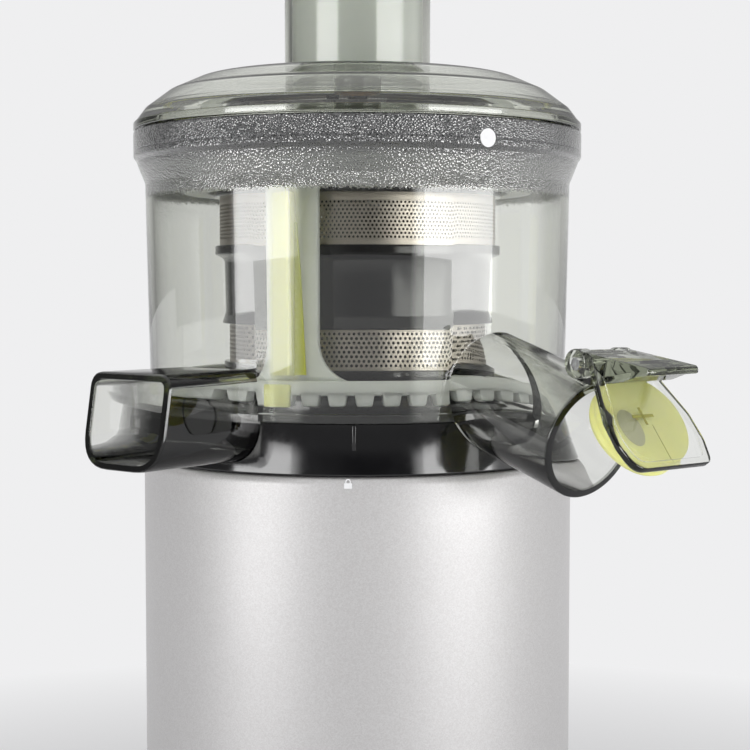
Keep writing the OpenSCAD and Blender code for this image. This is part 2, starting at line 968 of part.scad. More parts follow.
module hinge_lug() {
    in_juice_frame()
        difference() {
            union() {
                translate([hinge_x, lug_half, hinge_z])
                    rotate([90, 0, 0])
                        cylinder(r = barrel_r, h = 2 * lug_half);
                translate([hinge_x - barrel_r, -lug_half, juice_r - 1.6])
                    cube([barrel_r - hinge_x, 2 * lug_half, hinge_z - juice_r + 1.6]);
            }
            translate([hinge_x, lug_half + 1, hinge_z])
                rotate([90, 0, 0])
                    cylinder(r = cap_pin_r + running, h = 2 * lug_half + 2);
        }
}

module bowl_wall() {
    rotate_extrude($fn = 180)
        polygon([
            [wall_in_low, skirt_top], [wall_r_low, skirt_top], [wall_r_top, neck_z - 4.5],
            [wall_r_top, neck_z], [flange_r, flange_z], [flange_r, bowl_top], [socket_r, bowl_top],
            [socket_r, flange_z - 0.3], [wall_in_top, flange_z - 0.3], [wall_in_top, neck_z - 4.5]
        ]);
}

module bowl() {
    color(smoke) {
        difference() {
            bowl_wall();
            juice_bar(juice_r - spout_t, -62, 0);
        }
        juice_tube();
        pulp_tube();
        hinge_lug();
    }
}

module bowl_base() {
    color(black)
        difference() {
            union() {
                rotate_extrude($fn = 180)
                    polygon([
                        [skirt_r_low - skirt_t, bowl_seat], [skirt_r_low, bowl_seat],
                        [skirt_r_top, skirt_top], [wall_in_low - fit, skirt_top],
                        [wall_in_low - fit, floor_z], [sleeve_in_r, floor_z],
                        [sleeve_in_r, floor_z - floor_t], [skirt_r_top - skirt_t, floor_z - floor_t]
                    ]);
                translate([0, 0, skirt_top - 10])
                    tube(sleeve_r, sleeve_in_r, sleeve_top - skirt_top + 10);
                facing(pulp_az)
                    translate([duct_in_r, -duct_w / 2 - 2, pulp_z])
                        cube([notch_r - duct_in_r, duct_w + 4, floor_z - pulp_z - 1]);
                facing(-0.9)
                    translate([skirt_r_top - 1.5, -0.6, skirt_top - 8.4])
                        cube([3.2, 1.2, 8]);
                for (a = [48:90:318])
                    facing(a)
                        translate([skirt_r_low - skirt_t - 4, -4, bowl_seat + 4])
                            cube([5, 8, 8]);
            }
            facing(pulp_az)
                translate([duct_in_r + 2, -duct_w / 2, pulp_z + spout_t])
                    cube([notch_r, duct_w, duct_top - pulp_z - spout_t - 0.6]);
            facing(pulp_az)
                translate([duct_in_r + 2, -duct_w / 2, pulp_z + spout_t])
                    cube([foot_in_r - duct_in_r - 3, duct_w, 40]);
            difference() {
                pulp_prism(-gap, notch_r, pulp_reach);
                translate([0, 0, skirt_top - 0.6])
                    cylinder(r = wall_in_low - fit, h = 60);
            }
        }
}

module bowl_seal() {
    color(lime)
        translate([0, 0, floor_z])
            tube(seal_r, sleeve_r + fit, sleeve_top - floor_z);
}

module idler_pin() {
    color(steel)
        translate([0, idler_y, floor_z]) {
            cylinder(r = idler_pin_r, h = idler_h + 0.8);
            translate([0, 0, idler_h + 0.8 - eps])
                cylinder(r = idler_pin_r + 2.5, h = 1.4);
        }
}

module idler_gear() {
    color(white)
        translate([0, idler_y, idler_z])
            linear_extrude(idler_h)
                difference() {
                    rotate(-90 + 180 / bowl_gear_teeth)
                        gear_outline(bowl_module, bowl_gear_teeth, loose_backlash, 0.8, 1.05);
                    circle(r = idler_pin_r + running);
                }
}

// ---- Strainer ----

module strainer_frame() {
    color(black)
        difference() {
            union() {
                translate([0, 0, strainer_z])
                    tube(foot_out_r, foot_in_r, strainer_ring_z - strainer_z + eps);
                translate([0, 0, strainer_ring_z])
                    tube(foot_out_r + 0.4, lower_mesh_r - 2.4, lower_mesh_z - strainer_ring_z);
                rib_cage(lower_mesh_r - mesh_t, lower_mesh_z, lower_mesh_h);
                rotate_extrude()
                    polygon([
                        [lower_mesh_r - 1.5, band_z], [band_r + 0.9, band_z], [band_r - 0.4, band_z + 4],
                        [band_r, upper_mesh_z - 4.5], [band_lip_r, upper_mesh_z - 3],
                        [band_lip_r, upper_mesh_z], [upper_mesh_r - 2, upper_mesh_z],
                        [lower_mesh_r - 1.5, upper_mesh_z - 6]
                    ]);
                rib_cage(upper_mesh_r - mesh_t, upper_mesh_z, upper_mesh_h);
                translate([0, 0, top_ring_z])
                    tube(band_lip_r + 0.5, upper_mesh_r - 2, strainer_top - top_ring_z);
            }
            translate([-idler_window_r, idler_y - idler_window_r, strainer_z - 1])
                cube([2 * idler_window_r, 2 * idler_window_r, strainer_ring_z - strainer_z + 0.4]);
        }
}

// Upright ribs that back a sheet from the inside
module rib_cage(sheet_in_r, z, h) {
    for (a = [0:360 / rib_count:359])
        intersection() {
            translate([0, 0, z - eps])
                tube(sheet_in_r - 0.05, sheet_in_r - 0.95, h + 2 * eps);
            facing(a + 12)
                translate([sheet_in_r - 5, -rib_w / 2, z - 1])
                    cube([12, rib_w, h + 2]);
        }
}

module lower_mesh() {
    color(steel)
        translate([0, 0, lower_mesh_z])
            tube(lower_mesh_r, lower_mesh_r - mesh_t, lower_mesh_h);
}

module upper_mesh() {
    color(steel)
        translate([0, 0, upper_mesh_z])
            tube(upper_mesh_r, upper_mesh_r - mesh_t, upper_mesh_h);
}

// ---- Wiper ----

module arm_outline(height) {
    translate([-arm_w / 2, 0])
        square([arm_w, height]);
    difference() {
        translate([-arm_w, 0])
            square([2 * arm_w, arm_w / 2]);
        for (side = [-1, 1])
            translate([side * arm_w, arm_w / 2])
                circle(r = arm_w / 2);
    }
}

module wiper_frame() {
    color(white)
        difference() {
            union() {
                translate([0, 0, ring_z])
                    tube(ring_out_r, arm_in_r, ring_h);
                difference() {
                    translate([0, 0, ring_z - tooth_drop])
                        tube(ring_out_r, ring_tip_r, tooth_drop + eps);
                    translate([0, 0, ring_z - tooth_drop - 1])
                        linear_extrude(tooth_drop + 1)
                            rotate(90)
                                gear_outline(bowl_module, ring_teeth, -loose_backlash, 0.9, 1.2, 3);
                }
                intersection() {
                    translate([0, 0, ring_z + 1])
                        tube(arm_out_r, arm_in_r, wiper_top_z - ring_z);
                    for (a = arms)
                        facing(a)
                            translate([0, 0, ring_z + ring_h - 0.5])
                                rotate([90, 0, 90])
                                    linear_extrude(flange_r)
                                        arm_outline(wiper_top_z - ring_z);
                }
                translate([0, 0, wiper_top_z])
                    tube(arm_out_r, band_lip_r + 2.4, wiper_top_h);
            }
            for (a = arms)
                facing(a)
                    translate([arm_in_r - 1, -blade_t / 2 - 0.05, blade_low])
                        cube([8, blade_t + 0.1, blade_top - blade_low]);
        }
}

module blade_outline() {
    polygon([
        [foot_out_r + 0.8, blade_low + 0.1], [wall_in_low - 0.8, blade_low + 0.1],
        [wall_in_top - 1, blade_top - 0.1], [band_lip_r + 1, blade_top - 0.1],
        [band_lip_r + 0.4, band_z - 1], [foot_out_r + 1, band_z - 3]
    ]);
}

module wiper_blades() {
    color(lime)
        for (a = arms)
            facing(a)
                translate([0, blade_t / 2, 0])
                    rotate([90, 0, 0])
                        linear_extrude(blade_t)
                            blade_outline();
}

// ---- Auger ----

module flight_section() {
    half = 14;
    polygon([
        for (i = [-3:3])
            polar(auger_r, half * i / 3),
        for (i = [2:-1:-2])
            polar(11, 2 * half * i / 2)
    ]);
}

module auger() {
    flight_h = auger_top - auger_z - 7;
    color("dimgray")
        difference() {
            union() {
                rotate_extrude()
                    polygon([
                        [0, hub_z], [auger_hub_r, hub_z], [auger_hub_r, auger_z], [auger_r - 0.5, auger_z],
                        [auger_r - 0.5, auger_z + 3], [30, auger_z + 7], [24, auger_z + 24],
                        [18, auger_top - 8], [12, auger_top], [tip_r, auger_top + 3],
                        [tip_r, tip_top], [0, tip_top]
                    ]);
                for (k = [0:flights - 1])
                    translate([0, 0, auger_z + 2])
                        rotate([0, 0, 360 * k / flights])
                            linear_extrude(flight_h, twist = 440, slices = 48, $fn = 16)
                                flight_section();
            }
            translate([0, 0, hub_z - 1])
                cylinder(r = insert_r + 0.02, h = insert_h + 1.2);
        }
}

module auger_gear() {
    color(white)
        translate([0, 0, auger_gear_z])
            linear_extrude(auger_z - auger_gear_z - 0.05)
                difference() {
                    rotate(90)
                        gear_outline(bowl_module, bowl_gear_teeth, loose_backlash, 0.8, 1.05);
                    circle(r = auger_hub_r + 0.02);
                }
}

module drive_insert() {
    color(steel)
        translate([0, 0, hub_z])
            difference() {
                cylinder(r = insert_r, h = insert_h);
                translate([0, 0, -1])
                    cylinder(r = drive_r + gap, h = insert_h - 2, $fn = 6);
            }
}

// ---- Cap ----

module cap_pin() {
    color(steel)
        in_juice_frame()
            translate([hinge_x, barrel_half - 0.6, hinge_z])
                rotate([90, 0, 0])
                    cylinder(r = cap_pin_r, h = 2 * barrel_half - 1.2);
}

// Draws its children, given in the closed place, with the cap turned to its place at rest
module opened() {
    in_juice_frame()
        translate([hinge_x, 0, hinge_z])
            rotate([0, -cap_open, 0])
                translate([-hinge_x, 0, -hinge_z])
                    children();
}

module flap_outline() {
    offset(r = 3, $fn = 32)
        offset(delta = -3)
            polygon([
                [1 - barrel_half, hinge_z], [barrel_half - 1, hinge_z], [14.2, 10], [17.6, 0],
                [18, -9], [16, -17], [-16, -17], [-18, -9], [-17.6, 0], [-14.2, 10]
            ]);
}

module tab_outline() {
    difference() {
        polygon([
            [0, tab_top], [tab_len, tab_top], [tab_len + 0.6, tab_top - 2.2], [tab_len - 4, 0.8],
            [tab_len - 9, -1.8], [tab_len - 15, -3.6], [10.5, -1.9], [8, -1.6], [3, -3.4]
        ]);
        polygon([
            [7.5, tab_top - 2], [tab_len - 7, tab_top - 2], [tab_len - 10, 0.4],
            [tab_len - 15, -1.4], [9.5, 0.2]
        ]);
    }
}

module spout_cap() {
    color(smoke)
        opened()
            difference() {
                union() {
                    translate([cap_x, 0, 0])
                        rotate([90, 0, 90])
                            linear_extrude(cap_t)
                                flap_outline();
                    translate([hinge_x, barrel_half, hinge_z])
                        rotate([90, 0, 0])
                            cylinder(r = barrel_r, h = 2 * barrel_half);
                    translate([hinge_x, 0, hinge_z])
                        rotate([90, -tab_angle, 0])
                            translate([0, 0, -barrel_half + 0.3])
                                linear_extrude(2 * barrel_half - 0.6)
                                    tab_outline();
                }
                translate([hinge_x, lug_half + gap, hinge_z])
                    rotate([90, 0, 0])
                        cylinder(r = barrel_r + gap, h = 2 * lug_half + 2 * gap);
                translate([hinge_x - barrel_r, 0, 0])
                    rotate([0, 90, 0])
                        cylinder(r = juice_r + gap, h = barrel_r - hinge_x + cap_x);
                translate([hinge_x - barrel_r, -lug_half - gap, juice_r - 1.6])
                    cube([barrel_r - hinge_x + cap_x, 2 * (lug_half + gap), hinge_z - juice_r + 1.6]);
                translate([hinge_x, barrel_half + 1, hinge_z])
                    rotate([90, 0, 0])
                        cylinder(r = cap_pin_r + running, h = 2 * barrel_half + 2);
            }
}

module cap_plug() {
    color(lime)
        opened()
            translate([plug_x, 0, 0])
                rotate([0, 90, 0]) {
                    cylinder(r1 = plug_r - 0.8, r2 = plug_r, h = 0.8);
                    translate([0, 0, 0.8 - eps])
                        cylinder(r = plug_r, h = plug_t - 0.8 + eps);
                }
}

// ---- Lid ----

module lid_gasket() {
    color(lime)
        translate([0, 0, gasket_z])
            tube(socket_r - gap, wall_in_top - 0.6, gasket_h);
}

module lid() {
    color(smoke)
        difference() {
            union() {
                rotate_extrude($fn = 180)
                    polygon([
                        [socket_r - gap - 3, spigot_z], [socket_r - gap, spigot_z], [socket_r - gap, lid_z],
                        [flange_r, lid_z], [flange_r, dome_z - 1], [flange_r - 1, dome_z],
                        [flange_r - 4, dome_z + 4], [flange_r - 12, dome_top - 6],
                        [flange_r - 22, dome_top - 1.5], [flange_r - 34, dome_top], [0, dome_top],
                        [0, dome_top - lid_t], [flange_r - 34, dome_top - lid_t],
                        [flange_r - 22.5, dome_top - lid_t - 1.5], [flange_r - 13.5, dome_top - lid_t - 5.8],
                        [flange_r - 6.6, dome_z + 2.4], [socket_r - gap - 3, dome_z - 1]
                    ]);
                translate([0, chute_y, chute_z])
                    cylinder(r = chute_r, h = tray_z - chute_z + eps);
                translate([0, chute_y, tray_z])
                    cylinder(r1 = chute_r, r2 = tray_r, h = tray_h);
                translate([0, 0, bush_z])
                    cylinder(r = bush_out_r + 2.2, h = dome_top - bush_z - 1);
            }
            translate([0, chute_y, chute_z - 1])
                cylinder(r = chute_r - lid_t, h = tray_z - chute_z + 2);
            translate([0, chute_y, tray_z])
                cylinder(r1 = chute_r - lid_t, r2 = tray_r - lid_t, h = tray_h + eps);
            translate([0, 0, bush_z - 1])
                cylinder(r = bush_out_r + 0.02, h = 12);
        }
}

module lid_bush() {
    color("peru")
        translate([0, 0, bush_z])
            difference() {
                cylinder(r = bush_out_r, h = 10.9);
                translate([0, 0, -1])
                    cylinder(r = tip_r + running, h = 10);
            }
}

module pusher() {
    color(white)
        translate([0, chute_y, 0])
            rotate_extrude()
                polygon([
                    [0, pusher_z], [chute_r - lid_t - 3, pusher_z], [chute_r - lid_t - gap, pusher_z + 3],
                    [chute_r - lid_t - gap, tray_z - 1], [chute_r - lid_t - 2, tray_top + gap],
                    [tray_r, tray_top + gap], [tray_r, tray_top + gap + 3],
                    [tray_r - 4, tray_top + head_h - 3], [tray_r - 12, tray_top + head_h - 0.5],
                    [tray_r - 18, tray_top + head_h], [0, tray_top + head_h]
                ]);
}

rubber_feet();
base_plate();
base_screws();
body_shell();
top_deck();
deck_screws();
switch_bezel();
rocker_switch();
cord_gland();
control_board();
board_parts();
motor_can();
motor_stator();
field_coils();
carbon_brushes();
motor_bushes();
motor_shaft();
rotor_core();
commutator();
motor_pinion();
cooling_fan();
motor_screws();
gearbox_housing();
gearbox_cover();
gearbox_screws();
counter_shaft();
first_wheel();
second_pinion();
counter_bushes();
output_wheel();
drive_shaft();
output_bush();
shaft_seal();
bowl_base();
bowl();
bowl_seal();
idler_pin();
idler_gear();
strainer_frame();
lower_mesh();
upper_mesh();
wiper_frame();
wiper_blades();
auger();
auger_gear();
drive_insert();
cap_pin();
spout_cap();
cap_plug();
lid_gasket();
lid();
lid_bush();
pusher();
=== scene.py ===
"""The looks of an upright slow juicer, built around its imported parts.

Sizes are millimetres and become metres in piece(). Azimuths are degrees, counted from the front
(the -Y side), positive towards +X. Every piece rides on the body that carries it.
"""

import json
import math

import bmesh
import bpy
from mathutils import Matrix, Vector


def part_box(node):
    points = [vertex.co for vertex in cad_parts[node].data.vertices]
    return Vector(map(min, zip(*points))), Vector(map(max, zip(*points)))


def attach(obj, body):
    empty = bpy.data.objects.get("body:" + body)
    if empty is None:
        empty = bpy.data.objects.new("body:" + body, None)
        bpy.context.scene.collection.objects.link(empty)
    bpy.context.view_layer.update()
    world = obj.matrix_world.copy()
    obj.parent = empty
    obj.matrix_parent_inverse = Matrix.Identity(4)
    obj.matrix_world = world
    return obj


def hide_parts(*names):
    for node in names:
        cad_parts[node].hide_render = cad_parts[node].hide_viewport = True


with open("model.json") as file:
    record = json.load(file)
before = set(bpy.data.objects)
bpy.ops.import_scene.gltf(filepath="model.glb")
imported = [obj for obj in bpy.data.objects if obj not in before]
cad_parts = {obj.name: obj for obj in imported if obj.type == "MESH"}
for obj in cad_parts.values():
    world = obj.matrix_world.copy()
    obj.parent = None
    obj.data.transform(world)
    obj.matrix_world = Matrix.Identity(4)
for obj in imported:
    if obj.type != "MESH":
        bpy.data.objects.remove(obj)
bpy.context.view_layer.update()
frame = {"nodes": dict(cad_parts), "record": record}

MM = 0.001
SIDES = 256


def node_box(name):
    """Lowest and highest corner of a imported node, in millimetres."""
    low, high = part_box(name)
    return low / MM, high / MM


# ---- Sizes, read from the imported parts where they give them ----

shell_low, shell_high = node_box("body_shell")
base_r = shell_high.x
shell_z = shell_low.z
base_h = shell_high.z
rim_round = 3
base_wall = 2.5
switch_w = 22.2
switch_low = 46.9
switch_top = 77.1
vent_count = 8
vent_low = 98
vent_step = 5
gland_z = 26
gland_r = 5.6
deck_r = base_r - 7
ink_t = 0.06

bowl_seat = node_box("bowl_base")[0].z
skirt_top = bowl_seat + 16.2
floor_z = skirt_top + 2.5
skirt_r_low = 74
skirt_r_top = 71.6
skirt_t = 2.5
floor_t = 3
sleeve_in_r = 10
sleeve_out_r = 12.6
groove_in_r = 48.6
groove_out_r = 55.5
bowl_top = node_box("bowl")[1].z
flange_z = bowl_top - 10
neck_z = flange_z - 7
flange_r = 78
socket_r = flange_r - 3
wall_r_low = 72.6
wall_r_top = 74
wall_t = 2.6
wall_in_low = wall_r_low - wall_t
wall_in_top = wall_r_top - wall_t
frost_z = neck_z - 4.3
flange_groove_z = bowl_top - 6.8

pulp_az = -39.5
pulp_w = 35
pulp_tall = 29.5
pulp_z = skirt_top - 13
pulp_reach = 108
pulp_slant = 5
spout_t = 2.3
notch_r = 66
duct_in = 29
duct_half = 15
duct_t = 2

juice_az = 38
juice_r = 18.6
juice_reach = 114
juice_tilt = 16.4
juice_z = skirt_top - 3.4
hinge_x = -3.5
barrel_r = 4.4
barrel_half = 11
lug_half = 6
hinge_z = juice_r + barrel_r + 0.4
pin_r = 2
cap_open = 54
cap_t = 2.5
plug_r = 15.2
plug_t = 7.2
cap_x = 0.3
plug_x = cap_x - plug_t
tab_len = 28
tab_angle = -46

lower_low, lower_high = node_box("lower_mesh")
upper_low, upper_high = node_box("upper_mesh")
lower_mesh_r = lower_high.x
upper_mesh_r = upper_high.x
mesh_t = 0.5
foot_in_r = 44
foot_out_r = 46.6
band_r = 46.8
band_lip_r = 50
strainer_low, strainer_high = node_box("strainer_frame")

ring_teeth = 45
ring_pitch_r = 61
ring_out_r = ring_pitch_r + 1.3
ring_z = floor_z + 6.2
ring_h = 4.7
tooth_in_r = 58.9
tooth_drop = 3.8
arm_in_r = 57.6
arm_out_r = 61
arm_w = 17
arm_az = -20
wiper_top_z = upper_high.z + 1.3
wiper_top_h = 3.5
blade_t = 2.4
blade_low = ring_z + ring_h + 1.5
blade_top = upper_high.z - 1
blade_foot_z = floor_z + 2.4
blade_foot_top = floor_z + 9.6
lip_low = blade_low + 10.1
lip_top = blade_low + 48.1

lid_z = bowl_top + 0.4
dome_z = lid_z + 3.4
dome_top = dome_z + 16
lid_t = 2.6
chute_r = 27
chute_y = 35
tray_z = dome_top + 67
tray_h = 14
tray_r = 39
tray_top = tray_z + tray_h
post_r = 8.2
plunger_r = 24.1


# ---- Making meshes ----

# These turn a shape drawn along Z to run along X, or along -Y, or stand an outline of (y, z) across X
along_x = Matrix.Rotation(math.pi / 2, 4, "Y")
along_y = Matrix.Rotation(math.pi / 2, 4, "X")
across_x = Matrix(((0, 0, 1, 0), (1, 0, 0, 0), (0, 1, 0, 0), (0, 0, 0, 1)))


def turned(azimuth):
    """Turns a shape drawn along +X to an azimuth."""
    return Matrix.Rotation(math.radians(azimuth - 90), 4, "Z")


def about_hinge(angle, place=Matrix()):
    """A frame turned about the line of the cap's hinge."""
    hinge = Matrix.Translation((hinge_x, 0, hinge_z))
    return place @ hinge @ Matrix.Rotation(math.radians(-angle), 4, "Y") @ hinge.inverted()


def juice_place():
    """The frame at the middle of the juice spout's end, with X pointing out of it."""
    a = math.radians(juice_az)
    end = Matrix.Translation((juice_reach * math.sin(a), -juice_reach * math.cos(a), juice_z))
    return end @ turned(juice_az) @ Matrix.Rotation(math.radians(juice_tilt), 4, "Y")


def cap_place():
    """The juice frame with the cap turned open on its hinge."""
    return about_hinge(cap_open, juice_place())


def pulp_place():
    """The frame of the pulp spout, with X pointing out of it."""
    return turned(pulp_az) @ Matrix.Translation((0, 0, pulp_z))


def shape(points, faces, place=Matrix()):
    """A mesh in millimetres, welded, with its faces pointing out."""
    mesh = bpy.data.meshes.new("shape")
    mesh.from_pydata([place @ Vector(p) for p in points], [], faces)
    bm = bmesh.new()
    bm.from_mesh(mesh)
    bmesh.ops.remove_doubles(bm, verts=bm.verts, dist=1e-4)
    bmesh.ops.recalc_face_normals(bm, faces=bm.faces)
    bm.to_mesh(mesh)
    bm.free()
    return mesh


def rounded(corners, radius, steps=4):
    """A closed outline with every corner rounded. A corner (x, y, r) has its own radius."""
    outline = []
    count = len(corners)
    for i, corner in enumerate(corners):
        here = Vector(corner[:2])
        before = Vector(corners[i - 1][:2]) - here
        after = Vector(corners[(i + 1) % count][:2]) - here
        size = corner[2] if len(corner) > 2 else radius
        turn = before.angle(after)
        if size <= 0 or turn > math.pi - 0.02:
            outline.append(tuple(here))
            continue
        reach = min(size / math.tan(turn / 2), 0.48 * before.length, 0.48 * after.length)
        start = here + before.normalized() * reach
        end = here + after.normalized() * reach
        for k in range(steps + 1):
            t = k / steps
            outline.append(tuple((1 - t) ** 2 * start + 2 * t * (1 - t) * here + t * t * end))
    return outline


def oblong(left, low, right, high):
    """The four corners of an upright rectangle."""
    return [(left, low), (right, low), (right, high), (left, high)]


def lathe(outline, sides=SIDES, place=Matrix()):
    """A closed outline of (radius, height) points turned about Z."""
    points = []
    for k in range(sides):
        a = 2 * math.pi * k / sides
        points += [(r * math.cos(a), r * math.sin(a), z) for r, z in outline]
    n = len(outline)
    faces = []
    for k in range(sides):
        here, there = k * n, (k + 1) % sides * n
        for i in range(n):
            j = (i + 1) % n
            if max(outline[i][0], outline[j][0]) > 0:
                faces.append([here + i, here + j, there + j, there + i])
    return shape(points, faces, place)


def loft(rings, place=Matrix()):
    """Closed rings of equal length joined in order, and capped at both ends."""
    n = len(rings[0])
    points = [p for ring in rings for p in ring]
    faces = []
    for k in range(len(rings) - 1):
        for i in range(n):
            j = (i + 1) % n
            faces.append([k * n + i, k * n + j, (k + 1) * n + j, (k + 1) * n + i])
    faces.append(list(range(n)))
    faces.append(list(range((len(rings) - 1) * n, len(rings) * n)))
    return shape(points, faces, place)


def prism(outline, low, high, place=Matrix(), edge=0.0):
    """An outline in XY run from z = low to high. Its end edges get a round of size edge."""
    rings = []
    middle = Vector((sum(p[0] for p in outline), sum(p[1] for p in outline))) / len(outline)
    size = max((Vector(p) - middle).length for p in outline)
    for z, inset in end_steps(low, high, edge):
        shrink = 1 - inset / size
        rings.append([(*(middle + (Vector(p) - middle) * shrink), z) for p in outline])
    return loft(rings, place)


def end_steps(low, high, edge):
    """Heights and insets that round both ends of a prism."""
    steps = 3
    if edge <= 0:
        return [(low, 0), (high, 0)]
    quarter = [math.pi / 2 * k / steps for k in range(steps + 1)]
    start = [(low + edge * (1 - math.sin(a)), edge * (1 - math.cos(a))) for a in reversed(quarter)]
    end = [(high - edge * (1 - math.sin(a)), edge * (1 - math.cos(a))) for a in quarter]
    return start + end


def linked(name, data):
    """A new object in the scene."""
    thing = bpy.data.objects.new(name, data)
    bpy.context.scene.collection.objects.link(thing)
    return thing


def combined(mesh, *others, operation="DIFFERENCE"):
    """The mesh with the other meshes cut from it, or joined to it with UNION."""
    base = linked("base", mesh)
    helpers = [base]
    for other in others:
        tool = linked("tool", other)
        tool.hide_render = True
        helpers.append(tool)
        cut = base.modifiers.new("cut", "BOOLEAN")
        cut.object = tool
        cut.operation = operation
        cut.solver = "EXACT"
    result = evaluated(base)
    for helper in helpers:
        bpy.data.objects.remove(helper)
    return result


def evaluated(thing):
    """A plain mesh of an object with its modifiers worked out."""
    bpy.context.view_layer.update()
    graph = bpy.context.evaluated_depsgraph_get()
    return bpy.data.meshes.new_from_object(thing.evaluated_get(graph), depsgraph=graph)


def bevelled(mesh, width):
    """The mesh with its sharp edges rounded."""
    thing = linked("base", mesh)
    bevel = thing.modifiers.new("bevel", "BEVEL")
    bevel.width = width
    bevel.segments = 3
    bevel.limit_method = "ANGLE"
    bevel.angle_limit = math.radians(30)
    result = evaluated(thing)
    bpy.data.objects.remove(thing)
    return result


def joined(*meshes):
    """Several meshes as one, left as they are."""
    bm = bmesh.new()
    for mesh in meshes:
        bm.from_mesh(mesh)
    result = bpy.data.meshes.new("joined")
    bm.to_mesh(result)
    bm.free()
    return result


def piece(name, mesh, body, slot, replaces=(), finish=None, smooth=32):
    """A shown piece: its mesh in metres, the body it rides on, and its record slot, which gives its
    finish where no other is named."""
    mesh.transform(Matrix.Scale(MM, 4))
    mesh.name = name
    mesh.materials.clear()
    mesh.materials.append(finish or finishes[slot])
    for polygon in mesh.polygons:
        polygon.use_smooth = True
        polygon.material_index = 0
    mesh.set_sharp_from_angle(angle=math.radians(smooth))
    thing = linked(name, mesh)
    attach(thing, body)
    if replaces:
        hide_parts(*replaces)
    return thing


# ---- Finishes ----

def linear(hex_colour):
    """An sRGB hex colour as the linear colour that Blender mixes with."""
    parts = [int(hex_colour[i:i + 2], 16) / 255 for i in (0, 2, 4)]
    return (*(c / 12.92 if c <= 0.04045 else ((c + 0.055) / 1.055) ** 2.4 for c in parts), 1)


def add(tree, kind, inputs=None, **settings):
    """Adds a node with its settings. An input is a value, or the socket that feeds it."""
    node = tree.nodes.new(kind)
    for name, value in settings.items():
        setattr(node, name, value)
    for name, value in (inputs or {}).items():
        if isinstance(value, bpy.types.NodeSocket):
            tree.links.new(value, node.inputs[name])
        else:
            node.inputs[name].default_value = value
    return node


def maths(tree, operation, first, second=0.0, third=0.0):
    """What a maths node works out from up to three values."""
    return add(tree, "ShaderNodeMath", {0: first, 1: second, 2: third}, operation=operation).outputs[0]


def finish_named(name, **inputs):
    """A new material: its tree, its main shader and a socket of Object coordinates."""
    finish = bpy.data.materials.new(name)
    finish.use_nodes = True
    tree = finish.node_tree
    shader = tree.nodes["Principled BSDF"]
    for socket, value in inputs.items():
        shader.inputs[socket.replace("_", " ")].default_value = value
    place = add(tree, "ShaderNodeTexCoord").outputs["Object"]
    return finish, tree, shader, place


def grain(tree, place, size_mm, detail=2.0, roughness=0.5):
    """A noise whose spots are about size_mm across."""
    return add(tree, "ShaderNodeTexNoise", {
        "Vector": place, "Scale": 1 / (size_mm * MM), "Detail": detail, "Roughness": roughness,
    }).outputs[0]


def spread(tree, value, low, high, from_low=0.3, from_high=0.7):
    """A value taken from one range to another."""
    return add(tree, "ShaderNodeMapRange", {
        "Value": value, "From Min": from_low, "From Max": from_high, "To Min": low, "To Max": high,
    }).outputs[0]


def tinted(tree, share, first, second):
    """A colour between two others, each a hex colour or the socket that gives it."""
    first, second = (linear(c) if isinstance(c, str) else c for c in (first, second))
    return add(tree, "ShaderNodeMix", {0: share, 6: first, 7: second}, data_type="RGBA").outputs[2]


def skin(tree, shader, colour, roughness):
    """Feeds the shader its colour and its roughness."""
    tree.links.new(colour, shader.inputs["Base Color"])
    tree.links.new(roughness, shader.inputs["Roughness"])


def bump(tree, shader, height, depth_mm, strength=1.0):
    """Puts a height pattern of depth_mm into the shader's normal."""
    normal = add(tree, "ShaderNodeBump", {
        "Height": height, "Distance": depth_mm * MM, "Strength": strength,
    })
    tree.links.new(normal.outputs[0], shader.inputs["Normal"])
    return normal


def height_above(tree, place, low, high):
    """0 below one height in millimetres and 1 above another."""
    z = add(tree, "ShaderNodeSeparateXYZ", {"Vector": place}).outputs["Z"]
    return spread(tree, z, 0, 1, low * MM, high * MM)


def silver_lacquer():
    """Silver lacquer on moulded ABS: aluminium flakes under a clear coat give soft bright bands
    with a fine sparkle."""
    finish, tree, shader, place = finish_named(
        "silver_lacquer", Metallic=0.35, Coat_Weight=0.15, Coat_Roughness=0.3, Coat_IOR=1.5)
    flakes = add(tree, "ShaderNodeTexVoronoi", {"Vector": place, "Scale": 1 / (0.35 * MM)})
    flake = add(tree, "ShaderNodeSeparateColor", {"Color": flakes.outputs["Color"]}).outputs[0]
    cloud = grain(tree, place, 30)
    skin(tree, shader, tinted(tree, flake, "b8b6b6", "c4c3c3"), spread(tree, cloud, 0.46, 0.50))
    bump(tree, shader, flake, 0.006, 0.4)
    return finish


def glossy_black_abs():
    """Injection-moulded black ABS from a polished tool: a near mirror with slight sink marks and
    fine wiping scratches."""
    finish, tree, shader, place = finish_named("glossy_black_abs", IOR=1.53)
    wear = grain(tree, place, 9, 6, 0.7)
    sink = grain(tree, place, 22, 1)
    skin(tree, shader, tinted(tree, wear, "040406", "08080b"), spread(tree, wear, 0.05, 0.16))
    bump(tree, shader, sink, 0.25, 0.5)
    return finish


def moulded_black_abs():
    """Black ABS from an etched tool: a fine even grain that kills the gloss."""
    finish, tree, shader, place = finish_named("moulded_black_abs", IOR=1.53)
    leather = grain(tree, place, 0.7, 3)
    skin(tree, shader, tinted(tree, grain(tree, place, 14), "121215", "1d1d20"),
         spread(tree, leather, 0.42, 0.6))
    bump(tree, shader, leather, 0.05)
    return finish


def black_rubber():
    """Moulded nitrile rubber: deep matt black with a dusty bloom."""
    finish, tree, shader, place = finish_named("black_rubber", IOR=1.52, Sheen_Weight=0.2)
    dust = grain(tree, place, 5, 5)
    skin(tree, shader, tinted(tree, dust, "151516", "262627"), spread(tree, dust, 0.7, 0.9))
    bump(tree, shader, grain(tree, place, 0.5), 0.03)
    return finish


